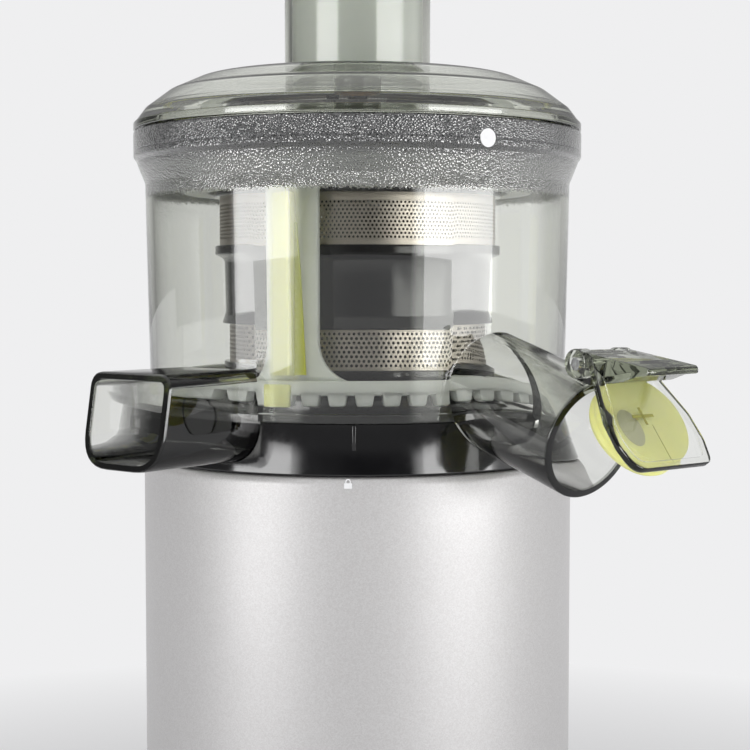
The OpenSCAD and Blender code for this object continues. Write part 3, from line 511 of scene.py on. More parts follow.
def mouth_planes():
    """The planes of the two spouts' ends, as (normal, distance), where painted shade darkens the cut wall."""
    planes = []
    for place, point, normal in (
        (juice_place(), Vector((0, 0, 0)), Vector((1, 0, 0))),
        (pulp_place(), Vector((pulp_reach + pulp_slant, 0, 0)), Vector((pulp_tall, 0, pulp_slant))),
    ):
        normal = (place.to_3x3() @ normal).normalized()
        planes.append((normal, normal.dot(place @ point) * MM))
    return planes


def smoked(name, **coat):
    """Copolyester moulded clear with a little smoke: the tint deepens with thickness, so edges go
    dark, and slow ripples in the wall bend what is seen through it."""
    finish, tree, shader, place = finish_named(
        name, IOR=1.54, Roughness=0.012, Transmission_Weight=1.0, Base_Color=(1, 1, 1, 1), **coat)
    ripple = bump(tree, shader, maths(tree, "MULTIPLY", grain(tree, place, 26, 1), 0.25), 0.05)
    smoke = add(tree, "ShaderNodeVolumeAbsorption", {"Color": linear("c6cabb"), "Density": 130.0})
    tree.links.new(smoke.outputs[0], tree.nodes["Material Output"].inputs["Volume"])
    return finish, tree, shader, place, ripple


def bowl_copolyester():
    """The bowl's copolyester: the spouts' cut ends get painted shade, a dark band at each mouth, and above
    frost_z the tool was spark-eroded, which leaves a sparkling pebbled skin with a ragged lower edge, painted
    dark grey as painted shade."""
    finish, tree, shader, place, ripple = smoked("frosted_copolyester", Coat_IOR=1.9, Coat_Roughness=0.08)
    cells = add(tree, "ShaderNodeTexVoronoi", {"Vector": place, "Scale": 1 / (0.75 * MM)})
    pebbles = cells.outputs["Distance"]
    z = add(tree, "ShaderNodeSeparateXYZ", {"Vector": place}).outputs["Z"]
    ragged = maths(tree, "MULTIPLY_ADD", maths(tree, "MULTIPLY", pebbles, 2.4), MM, z)
    frost = spread(tree, ragged, 0, 1, frost_z * MM, (frost_z + 1.2) * MM)
    # Painted shade: the frosted skin and a thin band at each spout's cut end get a dark base colour.
    dark = frost
    for normal, distance in mouth_planes():
        along = add(tree, "ShaderNodeVectorMath", {0: place, 1: normal}, operation="DOT_PRODUCT")
        rim = spread(tree, along.outputs["Value"], 0, 1, distance - 1.2 * MM, distance - 0.7 * MM)
        dark = maths(tree, "MAXIMUM", dark, rim)
    # Painted shade: the frosted skin goes from mid grey below the flange to dark grey on the flange.
    shade = tinted(tree, height_above(tree, place, flange_z - 3, flange_z + 2), "8e908b", "26282b")
    skin(tree, shader, tinted(tree, dark, "ffffff", shade), spread(tree, frost, 0.012, 0.08, 0, 1))
    tree.links.new(spread(tree, frost, 1, 0.75, 0, 1), shader.inputs["Transmission Weight"])
    tree.links.new(frost, shader.inputs["Coat Weight"])
    relief = add(tree, "ShaderNodeBump", {
        "Height": pebbles, "Distance": 0.3 * MM, "Strength": frost, "Normal": ripple.outputs[0],
    })
    for socket in ("Normal", "Coat Normal"):
        tree.links.new(relief.outputs[0], shader.inputs[socket])
    return finish


def milky_polypropylene():
    """Unpigmented polypropylene: milky, lit from inside, with the silicone it carries showing
    through the left half of each arm."""
    finish, tree, shader, place = finish_named(
        "milky_polypropylene", IOR=1.49, Subsurface_Weight=0.5, Subsurface_Scale=0.006,
        Subsurface_Radius=(1.0, 1.0, 0.9), Transmission_Weight=0.12)
    parts = add(tree, "ShaderNodeSeparateXYZ", {"Vector": place})
    angle = maths(tree, "ARCTAN2", parts.outputs["X"], parts.outputs["Y"])
    half_turn = maths(tree, "MODULO", angle, math.pi)
    lower = maths(tree, "ADD", half_turn, math.pi)
    wrapped = maths(tree, "MODULO", lower, math.pi)
    near = spread(tree, wrapped, 0, 1, math.radians(17.2), math.radians(19))
    far = spread(tree, wrapped, 1, 0, math.radians(26.5), math.radians(28))
    band = maths(tree, "MULTIPLY", near, far)
    above = height_above(tree, place, blade_low - 3, blade_low + 1)
    below = maths(tree, "SUBTRACT", 1.0, height_above(tree, place, blade_top, blade_top + 3))
    inside = maths(tree, "MULTIPLY", above, below)
    show = maths(tree, "MULTIPLY", band, inside)
    cloud = grain(tree, place, 6, 3)
    milk = tinted(tree, cloud, "e3e8e2", "edf0ea")
    skin(tree, shader, tinted(tree, show, milk, "e6e9b4"), spread(tree, cloud, 0.28, 0.4))
    bump(tree, shader, grain(tree, place, 8, 1), 0.1, 0.4)
    return finish


def lime_silicone():
    """Moulded lime silicone: soft satin, slightly see-through, brighter where light passes."""
    finish, tree, shader, place = finish_named(
        "lime_silicone", IOR=1.43, Subsurface_Weight=0.6, Subsurface_Scale=0.004,
        Subsurface_Radius=(1.0, 0.9, 0.35), Sheen_Weight=0.1)
    cloud = grain(tree, place, 5, 4)
    skin(tree, shader, tinted(tree, cloud, "e8e98a", "f0f0a6"), spread(tree, cloud, 0.38, 0.52))
    bump(tree, shader, grain(tree, place, 0.6, 2), 0.02)
    return finish


def lime_silicone_lip_shade():
    """The same silicone on a thin lip: a stronger yellow-green, paler towards the top, painted in as shading.
    """
    finish, tree, shader, place = finish_named(
        "lime_silicone_lip_shade", IOR=1.43, Subsurface_Weight=0.5, Subsurface_Scale=0.003,
        Subsurface_Radius=(1.0, 0.9, 0.3))
    # Painted shade: the lip is a stronger yellow-green low down and paler towards the top.
    lip_shade_fade = height_above(tree, place, lip_low, lip_top)
    skin(tree, shader, tinted(tree, lip_shade_fade, "cdd126", "b9bf63"),
         spread(tree, grain(tree, place, 3), 0.35, 0.5))
    return finish


def punched_stainless():
    """Rolled 304 stainless sheet, punched: warm grey with a faint rolling grain."""
    finish, tree, shader, place = finish_named("punched_stainless", Metallic=1.0)
    stretch = add(tree, "ShaderNodeMapping", {"Vector": place, "Scale": (1, 1, 12)}).outputs[0]
    lines = grain(tree, stretch, 2.4, 4, 0.7)
    skin(tree, shader, tinted(tree, lines, "b0a79c", "cfc8be"), spread(tree, lines, 0.26, 0.4))
    bump(tree, shader, lines, 0.01, 0.6)
    return finish


def metal(name, first, second, rough_low, rough_high, size_mm=3.0, depth_mm=0.01):
    """A bare metal with tool marks or grain of size_mm."""
    finish, tree, shader, place = finish_named(name, Metallic=1.0)
    marks = grain(tree, place, size_mm, 4, 0.6)
    skin(tree, shader, tinted(tree, marks, first, second), spread(tree, marks, rough_low, rough_high))
    bump(tree, shader, marks, depth_mm)
    return finish


def plastic(name, first, second, rough_low, rough_high, size_mm=1.2):
    """A moulded plastic or resin with a grain of size_mm."""
    finish, tree, shader, place = finish_named(name, IOR=1.5)
    cloud = grain(tree, place, 12, 3)
    pores = grain(tree, place, size_mm, 3)
    skin(tree, shader, tinted(tree, cloud, first, second), spread(tree, pores, rough_low, rough_high))
    bump(tree, shader, pores, 0.03)
    return finish


def layered(name, first, second, rough_low, rough_high, pitch_mm, depth_mm, wander=0.0, **inputs):
    """A bare metal wound or stacked in layers, with a fine ridge at every one."""
    finish, tree, shader, place = finish_named(name, Metallic=1.0, **inputs)
    ridges = add(tree, "ShaderNodeTexWave", {
        "Vector": place, "Scale": 1 / (pitch_mm * MM * 2 * math.pi), "Distortion": wander,
    }, bands_direction="Z").outputs["Fac"]
    skin(tree, shader, tinted(tree, ridges, first, second), spread(tree, ridges, rough_low, rough_high))
    bump(tree, shader, ridges, depth_mm)
    return finish


def white_ink():
    """Pad-printed white ink: flat, with a slightly uneven edge of film."""
    finish, tree, shader, place = finish_named("white_ink", IOR=1.5)
    film = grain(tree, place, 1.5, 3)
    skin(tree, shader, tinted(tree, film, "e4e4e6", "f2f2f3"), spread(tree, film, 0.4, 0.55))
    return finish


finishes = {
    "black_rubber": black_rubber(),
    "black_plastic": moulded_black_abs(),
    "black_gloss": glossy_black_abs(),
    "silver_paint": silver_lacquer(),
    "smoke_clear": smoked("smoked_copolyester")[0],
    "frosted_white": milky_polypropylene(),
    "white_plastic": plastic("white_acetal", "e4e3de", "efeeea", 0.3, 0.42),
    "grey_plastic": plastic("filled_nylon", "6f7275", "83868a", 0.45, 0.6, 0.9),
    "dark_resin": plastic("polyetherimide", "2c2a28", "3b3835", 0.22, 0.36, 2.0),
    "lime_silicone": lime_silicone(),
    "mesh_steel": punched_stainless(),
    "shaft_steel": metal("ground_steel", "b9babb", "d2d3d4", 0.16, 0.28, 1.0),
    "screw_steel": metal("plated_screw_steel", "9fa1a3", "c2c4c6", 0.25, 0.4),
    "zinc_steel": metal("zinc_plated_sheet", "9ea3a8", "bcc0c3", 0.32, 0.5, 9.0),
    "lamination_steel": layered("steel_laminations", "6d6e70", "9a9b9d", 0.4, 0.55, 1.0, 0.08),
    "copper_wire": layered("copper_winding", "7a3d1e", "c8784a", 0.25, 0.4, 0.6, 0.2, 0.6, Coat_Weight=0.6),
    "bronze": metal("sintered_bronze", "8f6a3c", "b58c56", 0.4, 0.6, 0.4, 0.03),
    "carbon": plastic("pressed_carbon", "1b1b1d", "2c2c2e", 0.5, 0.7, 0.4),
    "board_green": plastic("solder_mask", "1f5a34", "2b7043", 0.25, 0.4, 4.0),
    "board_parts": plastic("component_epoxy", "2a2c31", "44474e", 0.3, 0.5),
}
frosted_copolyester = bowl_copolyester()
# Painted shade: these olive finishes stand in for the shade of the cap's moulded lines and of the plug's
# dimple.
olive_line_shade = plastic("olive_line_shade", "8c8a3e", "9a9848", 0.4, 0.5)
olive_dimple_shade = plastic("olive_dimple_shade", "b4b488", "bcbc92", 0.35, 0.5)
lime_lip_shade = lime_silicone_lip_shade()
ink = white_ink()


def dress_packed_parts():
    """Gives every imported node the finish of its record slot."""
    slots = {s["node"]: s["material_slot"] for s in frame["record"]["subparts"]}
    for name, node in frame["nodes"].items():
        for i in range(max(1, len(node.data.materials))):
            if i < len(node.data.materials):
                node.data.materials[i] = finishes[slots[name]]
            else:
                node.data.materials.append(finishes[slots[name]])


# ---- Motor base ----

def drum():
    """The silver drum: rolled rim, rear vents, switch window and gland hole."""
    wall = lathe(rounded([
        (base_r - base_wall, shell_z, 0.3), (base_r, shell_z, 0.8), (base_r, base_h, rim_round),
        (deck_r, base_h, 0.8), (deck_r, base_h - base_wall, 0.3), (base_r - base_wall, base_h - base_wall, 2),
    ], 0.5, 8))
    cuts = [block((-switch_w / 2, base_r - 12, switch_low), (switch_w / 2, base_r + 8, switch_top))]
    for i in range(vent_count):
        slot = rounded(oblong(-22, 0, 22, 2.2), 1.08, 5)
        turn = Matrix.Translation((0, base_r + 6, vent_low + vent_step * i)) @ along_y
        cuts.append(prism(slot, 0, 20, turn))
    gland = Matrix.Translation((0, base_r + 8, gland_z)) @ along_y
    cuts.append(prism(circle(gland_r, 48), 0, 20, gland))
    piece("drum_shell", combined(wall, *cuts), "root", "silver_paint", ["body_shell"])


def circle(radius, sides=96, middle=(0, 0)):
    """A round outline in XY."""
    return [(middle[0] + radius * math.cos(2 * math.pi * k / sides),
             middle[1] + radius * math.sin(2 * math.pi * k / sides)) for k in range(sides)]


def block(low, high, place=Matrix()):
    """A box between two corners, for cutting."""
    return prism(oblong(*low[:2], *high[:2]), low[2], high[2], place)


def on_drum(u, z, radius, azimuth=0.0):
    """A point on a drum of the given radius, u millimetres round it from an azimuth."""
    a = math.radians(azimuth) + u / radius
    return (radius * math.sin(a), -radius * math.cos(a), z)


def printed(name, outlines, radius, azimuth, body):
    """A printed mark: thin ink shapes, as outlines of (u, z), laid on a drum."""
    meshes = []
    for outline in outlines:
        low = [on_drum(u, z, radius - 0.02, azimuth) for u, z in outline]
        high = [on_drum(u, z, radius + ink_t, azimuth) for u, z in outline]
        meshes.append(loft([low, high]))
    piece(name, joined(*meshes), body, "frosted_white", finish=ink)


def lock_mark():
    """The small padlock sign that marks where the bowl locks."""
    z = base_h - 3.3
    body = rounded(oblong(-1.25, z, 1.25, z + 1.7), 0.25)
    bow_out = [(0.85 * math.cos(a), z + 2.1 + 0.95 * math.sin(a)) for a in half_turn()]
    bow_in = [(0.5 * math.cos(a), z + 2.1 + 0.6 * math.sin(a)) for a in reversed(half_turn())]
    bow = [(0.85, z + 1.7), *bow_out, (-0.85, z + 1.7), (-0.5, z + 1.7), *bow_in, (0.5, z + 1.7)]
    printed("lock_mark", [body, bow], base_r, -2.3, "root")


def half_turn():
    """Angles in even steps over half a turn."""
    return [math.pi * k / 10 for k in range(11)]


# ---- Bowl ----

def juice_bar(radius, low, high, edge=0.0):
    """A bar along the juice spout's axis."""
    return prism(circle(radius, 128), low, high, juice_place() @ along_x, edge)


def pulp_outline(inset):
    """The pulp spout's section, as (y, z): round below and squarer on top."""
    w = pulp_w / 2 - inset
    top = 4.5 - inset * 0.7
    low = 11.5 - inset
    return rounded([
        (-w, inset, low), (w, inset, low), (w, pulp_tall - inset, top), (-w, pulp_tall - inset, top),
    ], 1, 8)


def pulp_bar(inset, low, high, flare=0.0):
    """The pulp spout's section run outwards, ending on its slanted mouth, where it may flare."""
    rings = []
    for reach, extra in ((low, 0), (high - 1.2, 0), (high - 0.35, flare * 0.35), (high, flare)):
        ring = []
        for y, z in pulp_outline(inset - extra):
            slant = pulp_slant * (1 - z / pulp_tall) if reach > low else 0
            ring.append((reach + slant, y, z))
        rings.append(ring)
    return loft(rings, pulp_place())


def bowl_profile():
    """Half of the clear bowl's section, from the skirt up over the flange and down inside."""
    return rounded([
        (wall_in_low, skirt_top, 0.3), (wall_r_low, skirt_top, 0.6), (wall_r_top, neck_z - 4.5, 4),
        (wall_r_top, neck_z - 0.8, 3), (flange_r - 1.4, flange_z - 1.3, 1.6),
        (flange_r - 1.2, flange_z - 0.4, 0.2), (flange_r, flange_z + 1.2, 1.2),
        (flange_r, flange_groove_z - 0.3, 0.1), (flange_r - 0.25, flange_groove_z, 0.1),
        (flange_r, flange_groove_z + 0.3, 0.1), (flange_r, bowl_top, 1.0), (socket_r, bowl_top, 0.6),
        (socket_r, flange_z - 0.3, 0.5), (wall_in_top, flange_z - 0.3, 1.2),
        (wall_in_top, neck_z - 4.5, 4),
    ], 0.5)


def bowl():
    """The clear bowl with both spouts and the hinge's lug, moulded in one."""
    inside = lathe(rounded([
        (0, 5, 0), (skirt_r_low + 0.3, 5, 0), (skirt_r_low + 0.3, bowl_seat, 0),
        (skirt_r_top + 0.3, skirt_top, 0), (wall_in_low + 1, skirt_top, 0),
        (wall_in_top + 1, neck_z, 0), (0, neck_z, 0),
    ], 0))
    spout = combined(juice_bar(juice_r, -60, 0, 0.5), inside)
    duct = pulp_bar(0, notch_r + 0.3, pulp_reach, -0.5)
    above_floor = lathe(oblong(0, skirt_top, wall_r_low - 1, skirt_top + 40))
    duct = combined(duct, above_floor)
    lug = combined(hinge_lug(), inside)
    wall = combined(lathe(bowl_profile()), spout, duct, lug, operation="UNION")
    pulp_way = pulp_bar(spout_t, notch_r - 1, pulp_reach + 0.6, 0.8)
    hollow = combined(wall, juice_bar(juice_r - spout_t, -62, 2), pulp_way)
    piece("bowl_shell", hollow, "bowl", "smoke_clear", ["bowl"], frosted_copolyester)


def across_hinge(outline, half, place, edge=0.0):
    """An outline of (x, z) about the hinge's line, run across it to both sides."""
    turn = Matrix.Translation((hinge_x, 0, hinge_z)) @ along_y
    return prism(outline, -half, half, place @ turn, edge)


def hinge_lug():
    """The lug on the juice spout that holds the cap's pin."""
    outline = rounded([
        (-barrel_r, -(hinge_z - juice_r + 1.4), 0.1), (-hinge_x - 0.3, -(hinge_z - juice_r + 1.4), 0.1),
        (-hinge_x - 0.3, -3.7, 1), (barrel_r, 0, 2.4), (2.6, 3.6, 2.4),
        (-2.6, 3.6, 2.4), (-barrel_r, 0.5, 2),
    ], 1)
    body = across_hinge(outline, lug_half, juice_place(), 0.4)
    bore = across_hinge(circle(pin_r + 0.05, 32), lug_half + 1, juice_place())
    return combined(body, bore)


def bowl_foot():
    """The glossy black base of the bowl: skirt, floor, sleeve, tick rib and pulp duct."""
    skirt = lathe(rounded([
        (skirt_r_low - skirt_t, bowl_seat, 0.4), (skirt_r_low, bowl_seat, 0.5),
        (skirt_r_top, skirt_top, 0.7), (wall_in_low - 0.1, skirt_top, 0.1),
        (wall_in_low - 0.1, floor_z, 0.5), (groove_out_r + 1, floor_z, 0.3),
        (groove_out_r, floor_z - 0.9, 0.5), (groove_in_r, floor_z - 0.9, 0.5),
        (groove_in_r - 1, floor_z, 0.3), (sleeve_out_r, floor_z, 0.3), (sleeve_out_r, floor_z + 2.5, 0.3),
        (sleeve_in_r, floor_z + 2.5, 0.3), (sleeve_in_r, floor_z - floor_t, 0.3),
        (skirt_r_top - skirt_t, floor_z - floor_t, 1.2),
    ], 0.5))
    rib_low = (skirt_r_top - 1.5, -0.6, skirt_top - 8.4)
    rib_high = (skirt_r_top + 1.7, 0.6, skirt_top - 0.4)
    rib = bevelled(block(rib_low, rib_high, turned(-0.9)), 0.3)
    duct = block((duct_in, -duct_half, pulp_z), (notch_r + 1, duct_half, floor_z - 1), turned(pulp_az))
    whole = combined(skirt, rib, duct, operation="UNION")
    space_low = (duct_in + duct_t, duct_t - duct_half, pulp_z + spout_t)
    space = block(space_low, (95, duct_half - duct_t, floor_z - 3.4), turned(pulp_az))
    port = block(space_low, (41, duct_half - duct_t, floor_z + 4), turned(pulp_az))
    notch = combined(pulp_bar(-0.3, notch_r, pulp_reach),
                     lathe(oblong(0, skirt_top - 0.6, wall_in_low - 0.1, skirt_top + 60)))
    piece("bowl_foot", combined(whole, space, port, notch), "bowl", "black_gloss", ["bowl_base"])


def flange_dot():
    """The white dot that the lid's mark is set against."""
    outline = circle(2.9, 40, (0, flange_groove_z))
    printed("flange_dot", [outline], flange_r, 31.3, "bowl")


# ---- Strainer ----

def strainer_frame():
    """The strainer's black frame: foot ring, wide band with a flared foot and lip, ribs, top ring."""
    ring_low = lower_low.z - 2.6
    foot = lathe(rounded([
        (foot_in_r, strainer_low.z), (foot_out_r, strainer_low.z), (foot_out_r, ring_low),
        (foot_out_r + 0.4, ring_low + 0.3), (foot_out_r + 0.4, lower_low.z),
        (lower_mesh_r - 2.4, lower_low.z), (lower_mesh_r - 2.4, ring_low), (foot_in_r, ring_low),
    ], 0.4))
    band = lathe(rounded([
        (lower_mesh_r - 1.5, lower_high.z, 0.3), (band_r + 0.9, lower_high.z, 0.5),
        (band_r - 0.4, lower_high.z + 4, 4), (band_r, upper_low.z - 4.5, 2.5),
        (band_lip_r, upper_low.z - 3, 0.6), (band_lip_r, upper_low.z, 0.5),
        (upper_mesh_r - 2, upper_low.z, 0.3), (lower_mesh_r - 1.5, upper_low.z - 6, 1),
    ], 0.5, 6))
    top = lathe(rounded(oblong(upper_mesh_r - 2, upper_high.z, band_lip_r + 0.5, strainer_high.z), 0.6))
    idler = block((-23.5, 17, strainer_low.z - 1), (23.5, 64, ring_low + 0.1))
    ribs = []
    for azimuth in range(12, 372, 60):
        for low, high in ((lower_low, lower_high), (upper_low, upper_high)):
            inner = (high.x - 1.4, -2.5, low.z - 0.2)
            ribs.append(block(inner, (high.x - 0.6, 2.5, high.z + 0.2), turned(azimuth)))
    frame_mesh = joined(combined(foot, idler), band, top, *ribs)
    piece("strainer_frame_shell", frame_mesh, "bowl", "black_gloss", ["strainer_frame"])


def sheet_cell(width, height, hole_r):
    """One cell of perforated sheet, round a hole: a few dozen faces, lying in YZ with its front on +X."""
    corners = 8
    border = []
    hole = []
    for k in range(corners):
        a = 2 * math.pi * (k + 0.5) / corners
        c, s = math.cos(a), math.sin(a)
        reach = min(width / 2 / abs(c), height / 2 / abs(s))
        border.append((c * reach, s * reach))
        hole.append((hole_r * c, hole_r * s))
    square = [(math.copysign(width / 2, y), math.copysign(height / 2, z)) if k % 2 == 0 else (y, z)
              for k, (y, z) in enumerate(border)]
    points = []
    for x in (0, -mesh_t):
        points += [(x, y, z) for y, z in square]
        points += [(x, y, z) for y, z in hole]
    faces = []
    back = 2 * corners
    for k in range(corners):
        j = (k + 1) % corners
        faces.append((k, j, corners + j, corners + k))
        faces.append((back + j, back + k, back + corners + k, back + corners + j))
        faces.append((corners + k, corners + j, back + corners + j, back + corners + k))
    mesh = bpy.data.meshes.new("cell")
    mesh.from_pydata([Vector(p) * MM for p in points], [], faces)
    return bpy.data.objects.new("cell", mesh)


def rolled_rows_tree():
    """A Geometry Nodes tree that rolls rows of a cell round an upright cylinder. Every second row
    is shifted by half a cell."""
    tree = bpy.data.node_groups.new("rolled_rows", "GeometryNodeTree")
    tree.is_modifier = True
    tree.interface.new_socket("Geometry", in_out="OUTPUT", socket_type="NodeSocketGeometry")
    for name, kind in (("Cell", "Object"), ("Radius", "Float"), ("Low", "Float"), ("Row Height", "Float"),
                       ("Columns", "Int"), ("Rows", "Int"), ("Shift", "Float"), ("Finish", "Material")):
        tree.interface.new_socket(name, in_out="INPUT", socket_type="NodeSocket" + kind)
    given = add(tree, "NodeGroupInput").outputs

    count = maths(tree, "MULTIPLY", given["Columns"], given["Rows"])
    line = add(tree, "GeometryNodeMeshLine", {"Count": count}).outputs[0]
    index = add(tree, "GeometryNodeInputIndex").outputs[0]
    row = maths(tree, "FLOOR", maths(tree, "DIVIDE", maths(tree, "ADD", index, 0.5), given["Columns"]))
    column = maths(tree, "SUBTRACT", index, maths(tree, "MULTIPLY", row, given["Columns"]))
    odd = maths(tree, "MODULO", row, 2.0)
    place = maths(tree, "ADD", column, maths(tree, "MULTIPLY", odd, given["Shift"]))
    angle = maths(tree, "MULTIPLY", maths(tree, "DIVIDE", place, given["Columns"]), 2 * math.pi)
    spot = add(tree, "ShaderNodeCombineXYZ", {
        "X": maths(tree, "MULTIPLY", maths(tree, "COSINE", angle), given["Radius"]),
        "Y": maths(tree, "MULTIPLY", maths(tree, "SINE", angle), given["Radius"]),
        "Z": maths(tree, "MULTIPLY_ADD", maths(tree, "ADD", row, 0.5), given["Row Height"], given["Low"]),
    }).outputs[0]
    placed = add(tree, "GeometryNodeSetPosition", {"Geometry": line, "Position": spot}).outputs[0]
    cell = add(tree, "GeometryNodeObjectInfo", {"Object": given["Cell"]}).outputs["Geometry"]
    turn = add(tree, "ShaderNodeCombineXYZ", {"Z": angle}).outputs[0]
    rows = add(tree, "GeometryNodeInstanceOnPoints", {
        "Points": placed, "Instance": cell, "Rotation": turn,
    }).outputs[0]
    real = add(tree, "GeometryNodeRealizeInstances", {"Geometry": rows}).outputs[0]
    done = add(tree, "GeometryNodeSetMaterial", {"Geometry": real, "Material": given["Finish"]}).outputs[0]
    add(tree, "NodeGroupOutput", {"Geometry": done})
    return tree


def grown(tree, **values):
    """The plain mesh, in millimetres, that a Geometry Nodes tree makes from its named inputs."""
    thing = bpy.data.objects.new("grown", bpy.data.meshes.new("grown"))
    modifier = thing.modifiers.new("grown", "NODES")
    modifier.node_group = tree
    sockets = {s.name: s.identifier for s in tree.interface.items_tree if s.in_out == "INPUT"}
    for name, value in values.items():
        modifier[sockets[name.replace("_", " ")]] = value
    bpy.context.scene.collection.objects.link(thing)
    mesh = evaluated(thing)
    bpy.data.objects.remove(thing)
    mesh.transform(Matrix.Scale(1 / MM, 4))
    return mesh


def perforated(name, node, margins, pitch, row_height, hole_r):
    """A punched steel sheet in a packed sheet's place: rows of real holes between two plain margins."""
    box_low, box_high = node_box(node)
    low, high, radius = box_low.z, box_high.z, box_high.x
    columns = round(2 * math.pi * radius / pitch)
    rows = round((high - low - sum(margins)) / row_height)
    row_height = (high - low - sum(margins)) / rows
    width = 2 * math.pi * radius / columns
    cell = sheet_cell(width * 1.002, row_height, hole_r)
    punched = grown(rolled_rows, Cell=cell, Radius=radius * MM, Low=(low + margins[0]) * MM,
                    Row_Height=row_height * MM, Columns=columns, Rows=rows, Shift=0.5,
                    Finish=finishes["mesh_steel"])
    plain = [lathe(rounded(oblong(radius - mesh_t, a, radius, b), 0.1))
             for a, b in ((low, low + margins[0]), (high - margins[1], high))]
    piece(name, joined(punched, *plain), "bowl", "mesh_steel", [node], smooth=40)


def strainer_meshes():
    """Both sheets of the strainer: the upper one has the finer holes."""
    perforated("upper_sheet", "upper_mesh", (1.9, 2.6), 1.36, 1.17, 0.43)
    perforated("lower_sheet", "lower_mesh", (0.9, 0.6), 1.62, 1.45, 0.52)


# ---- Wiper ----

def curved_panel(levels, azimuth, low_r, high_r, corner=0.7):
    """A panel bent round the drum's axis. A level is (z, left, right), in mm round the panel."""
    middle_r = (low_r + high_r) / 2
    rings = []
    for z, left, right in levels:
        outline = rounded(oblong(left, low_r, right, high_r), corner, 4)
        rings.append([on_drum(u * r / middle_r, z, r, azimuth) for u, r in outline])
    return loft(rings)


def arm(azimuth):
    """One upright arm, whose foot sweeps out into the ring: wide on its right, less on its left."""
    half = arm_w / 2
    foot_z = ring_z + ring_h - 0.6
    levels = []
    for k in range(15):
        a = math.pi / 2 * k / 14
        rise = 1 - math.cos(a)
        levels.append((foot_z + 13 * rise, -half - 6.5 * (1 - math.sin(a)), half + 13 * (1 - math.sin(a))))
    levels.append((wiper_top_z + 1, -half - 0.4, half))
    return curved_panel(levels, azimuth, arm_in_r, arm_out_r)


def tooth():
    """One tooth of the drive ring: it tapers to a rounded tip, and hangs below the origin."""
    pitch = 2 * math.pi * ring_pitch_r / ring_teeth
    rings = []
    for drop, half, inset in ((-0.6, 0.40 * pitch, 0), (0.2, 0.36 * pitch, 0), (2.8, 0.305 * pitch, 0),
                              (3.5, 0.28 * pitch, 0.15), (tooth_drop, 0.22 * pitch, 0.6)):
        outline = rounded(oblong(tooth_in_r + inset, -half, ring_out_r - inset, half), 0.5, 2)
        rings.append([(x, y, -drop) for x, y in outline])
    mesh = loft(rings)
    mesh.transform(Matrix.Scale(MM, 4))
    return bpy.data.objects.new("tooth", mesh)


def wiper():
    """The milky wiper: drive ring with hanging teeth, two arms and the top ring."""
    ring = lathe(rounded(oblong(arm_in_r, ring_z, ring_out_r, ring_z + ring_h), 0.6))
    top = lathe(rounded(oblong(band_lip_r + 2.4, wiper_top_z, arm_out_r, wiper_top_z + wiper_top_h), 0.6))
    teeth = grown(rolled_rows, Cell=tooth(), Radius=0.0, Low=(ring_z + 0.3) * MM, Row_Height=0.0,
                  Columns=ring_teeth, Rows=1, Shift=0.0, Finish=finishes["frosted_white"])
    body = combined(ring, top, arm(arm_az), arm(arm_az + 180), operation="UNION")
    piece("wiper_body", joined(body, teeth), "wiper", "frosted_white", ["wiper_frame"])


def blade(azimuth):
    """A silicone wiping blade: a web through the arm, and a lip that leans from the arm's left half
    out to the bowl's wall."""
    outline = rounded([
        (foot_out_r + 0.8, blade_low + 0.1), (arm_out_r, blade_low + 0.1), (arm_out_r, blade_top - 0.1),
        (band_lip_r + 1, blade_top - 0.1), (band_lip_r + 0.4, lower_high.z - 1),
        (foot_out_r + 1, lower_high.z - 3),
    ], 1.2)
    turn = turned(azimuth) @ along_y
    web = prism(outline, -blade_t / 2, blade_t / 2, turn, 0.5)
    rings = []
    for z, reach in ((blade_low, 69.0), (blade_low + 1, 69.2), (blade_top - 1, 70.2), (blade_top, 70.0)):
        section = rounded([(-6.6, arm_out_r - 0.3, 0.3), (-6.2, arm_out_r + 0.5, 1), (1.9, reach, 0.5),
                           (2.9, reach, 0.4), (1.2, arm_out_r + 2.2, 1), (1.2, arm_out_r - 0.3, 0.3)], 0.5, 3)
        rings.append([on_drum(u, z, r, azimuth) for u, r in section])
    return web, loft(rings)


def blades():
    """Both blades, each with the foot block that wipes the bowl's floor."""
    meshes = []
    lips = []
    for azimuth in (arm_az, arm_az + 180):
        meshes += blade(azimuth)
        foot = [(blade_foot_z, -4.2, 3.8), (blade_foot_z + 0.5, -4.5, 4.1),
                (blade_foot_top - 0.5, -4.5, 4.3), (blade_foot_top, -4.2, 4.0)]
        meshes.append(curved_panel(foot, azimuth - 3.6, ring_out_r - 0.4, ring_out_r + 1.6, 0.5))
        levels = [(blade_low + 0.3, 1.0, 4.9), (lip_low, 1.0, 4.4), (lip_top - 15, 1.0, 3.2),
                  (lip_top, 1.0, 2.0)]
        lips.append(curved_panel(levels, azimuth, arm_out_r - 0.5, arm_out_r + 0.6, 0.2))
    piece("wiping_blades", joined(*meshes), "wiper", "lime_silicone", ["wiper_blades"])
    # Painted shade: the lips carry the shaded copy of the silicone.
    piece("blade_edges", joined(*lips), "wiper", "lime_silicone", finish=lime_lip_shade)


# ---- Juice spout's cap ----

def flap_outline(inset=0.0):
    """The cap's flap, as (y, z) about the spout's middle: narrow at the hinge, wide below."""
    side = [(10, hinge_z, 1.5), (14.2, 10, 4), (17.6, 0, 8), (18, -9, 8)]
    other = [(-y, z, r) for y, z, r in side]
    corners = [other[0], *side, (16, -17, 3), (-16, -17, 9), *other[:0:-1]]
    return rounded([(y - math.copysign(inset, y), z - math.copysign(inset, z), r)
                    for y, z, r in corners], 3, 5)


def cap_layer(outline, low, high, edge=0.0):
    """An outline of (y, z) on the cap, run from low to high out of the spout."""
    return prism(outline, low, high, cap_place() @ across_x, edge)


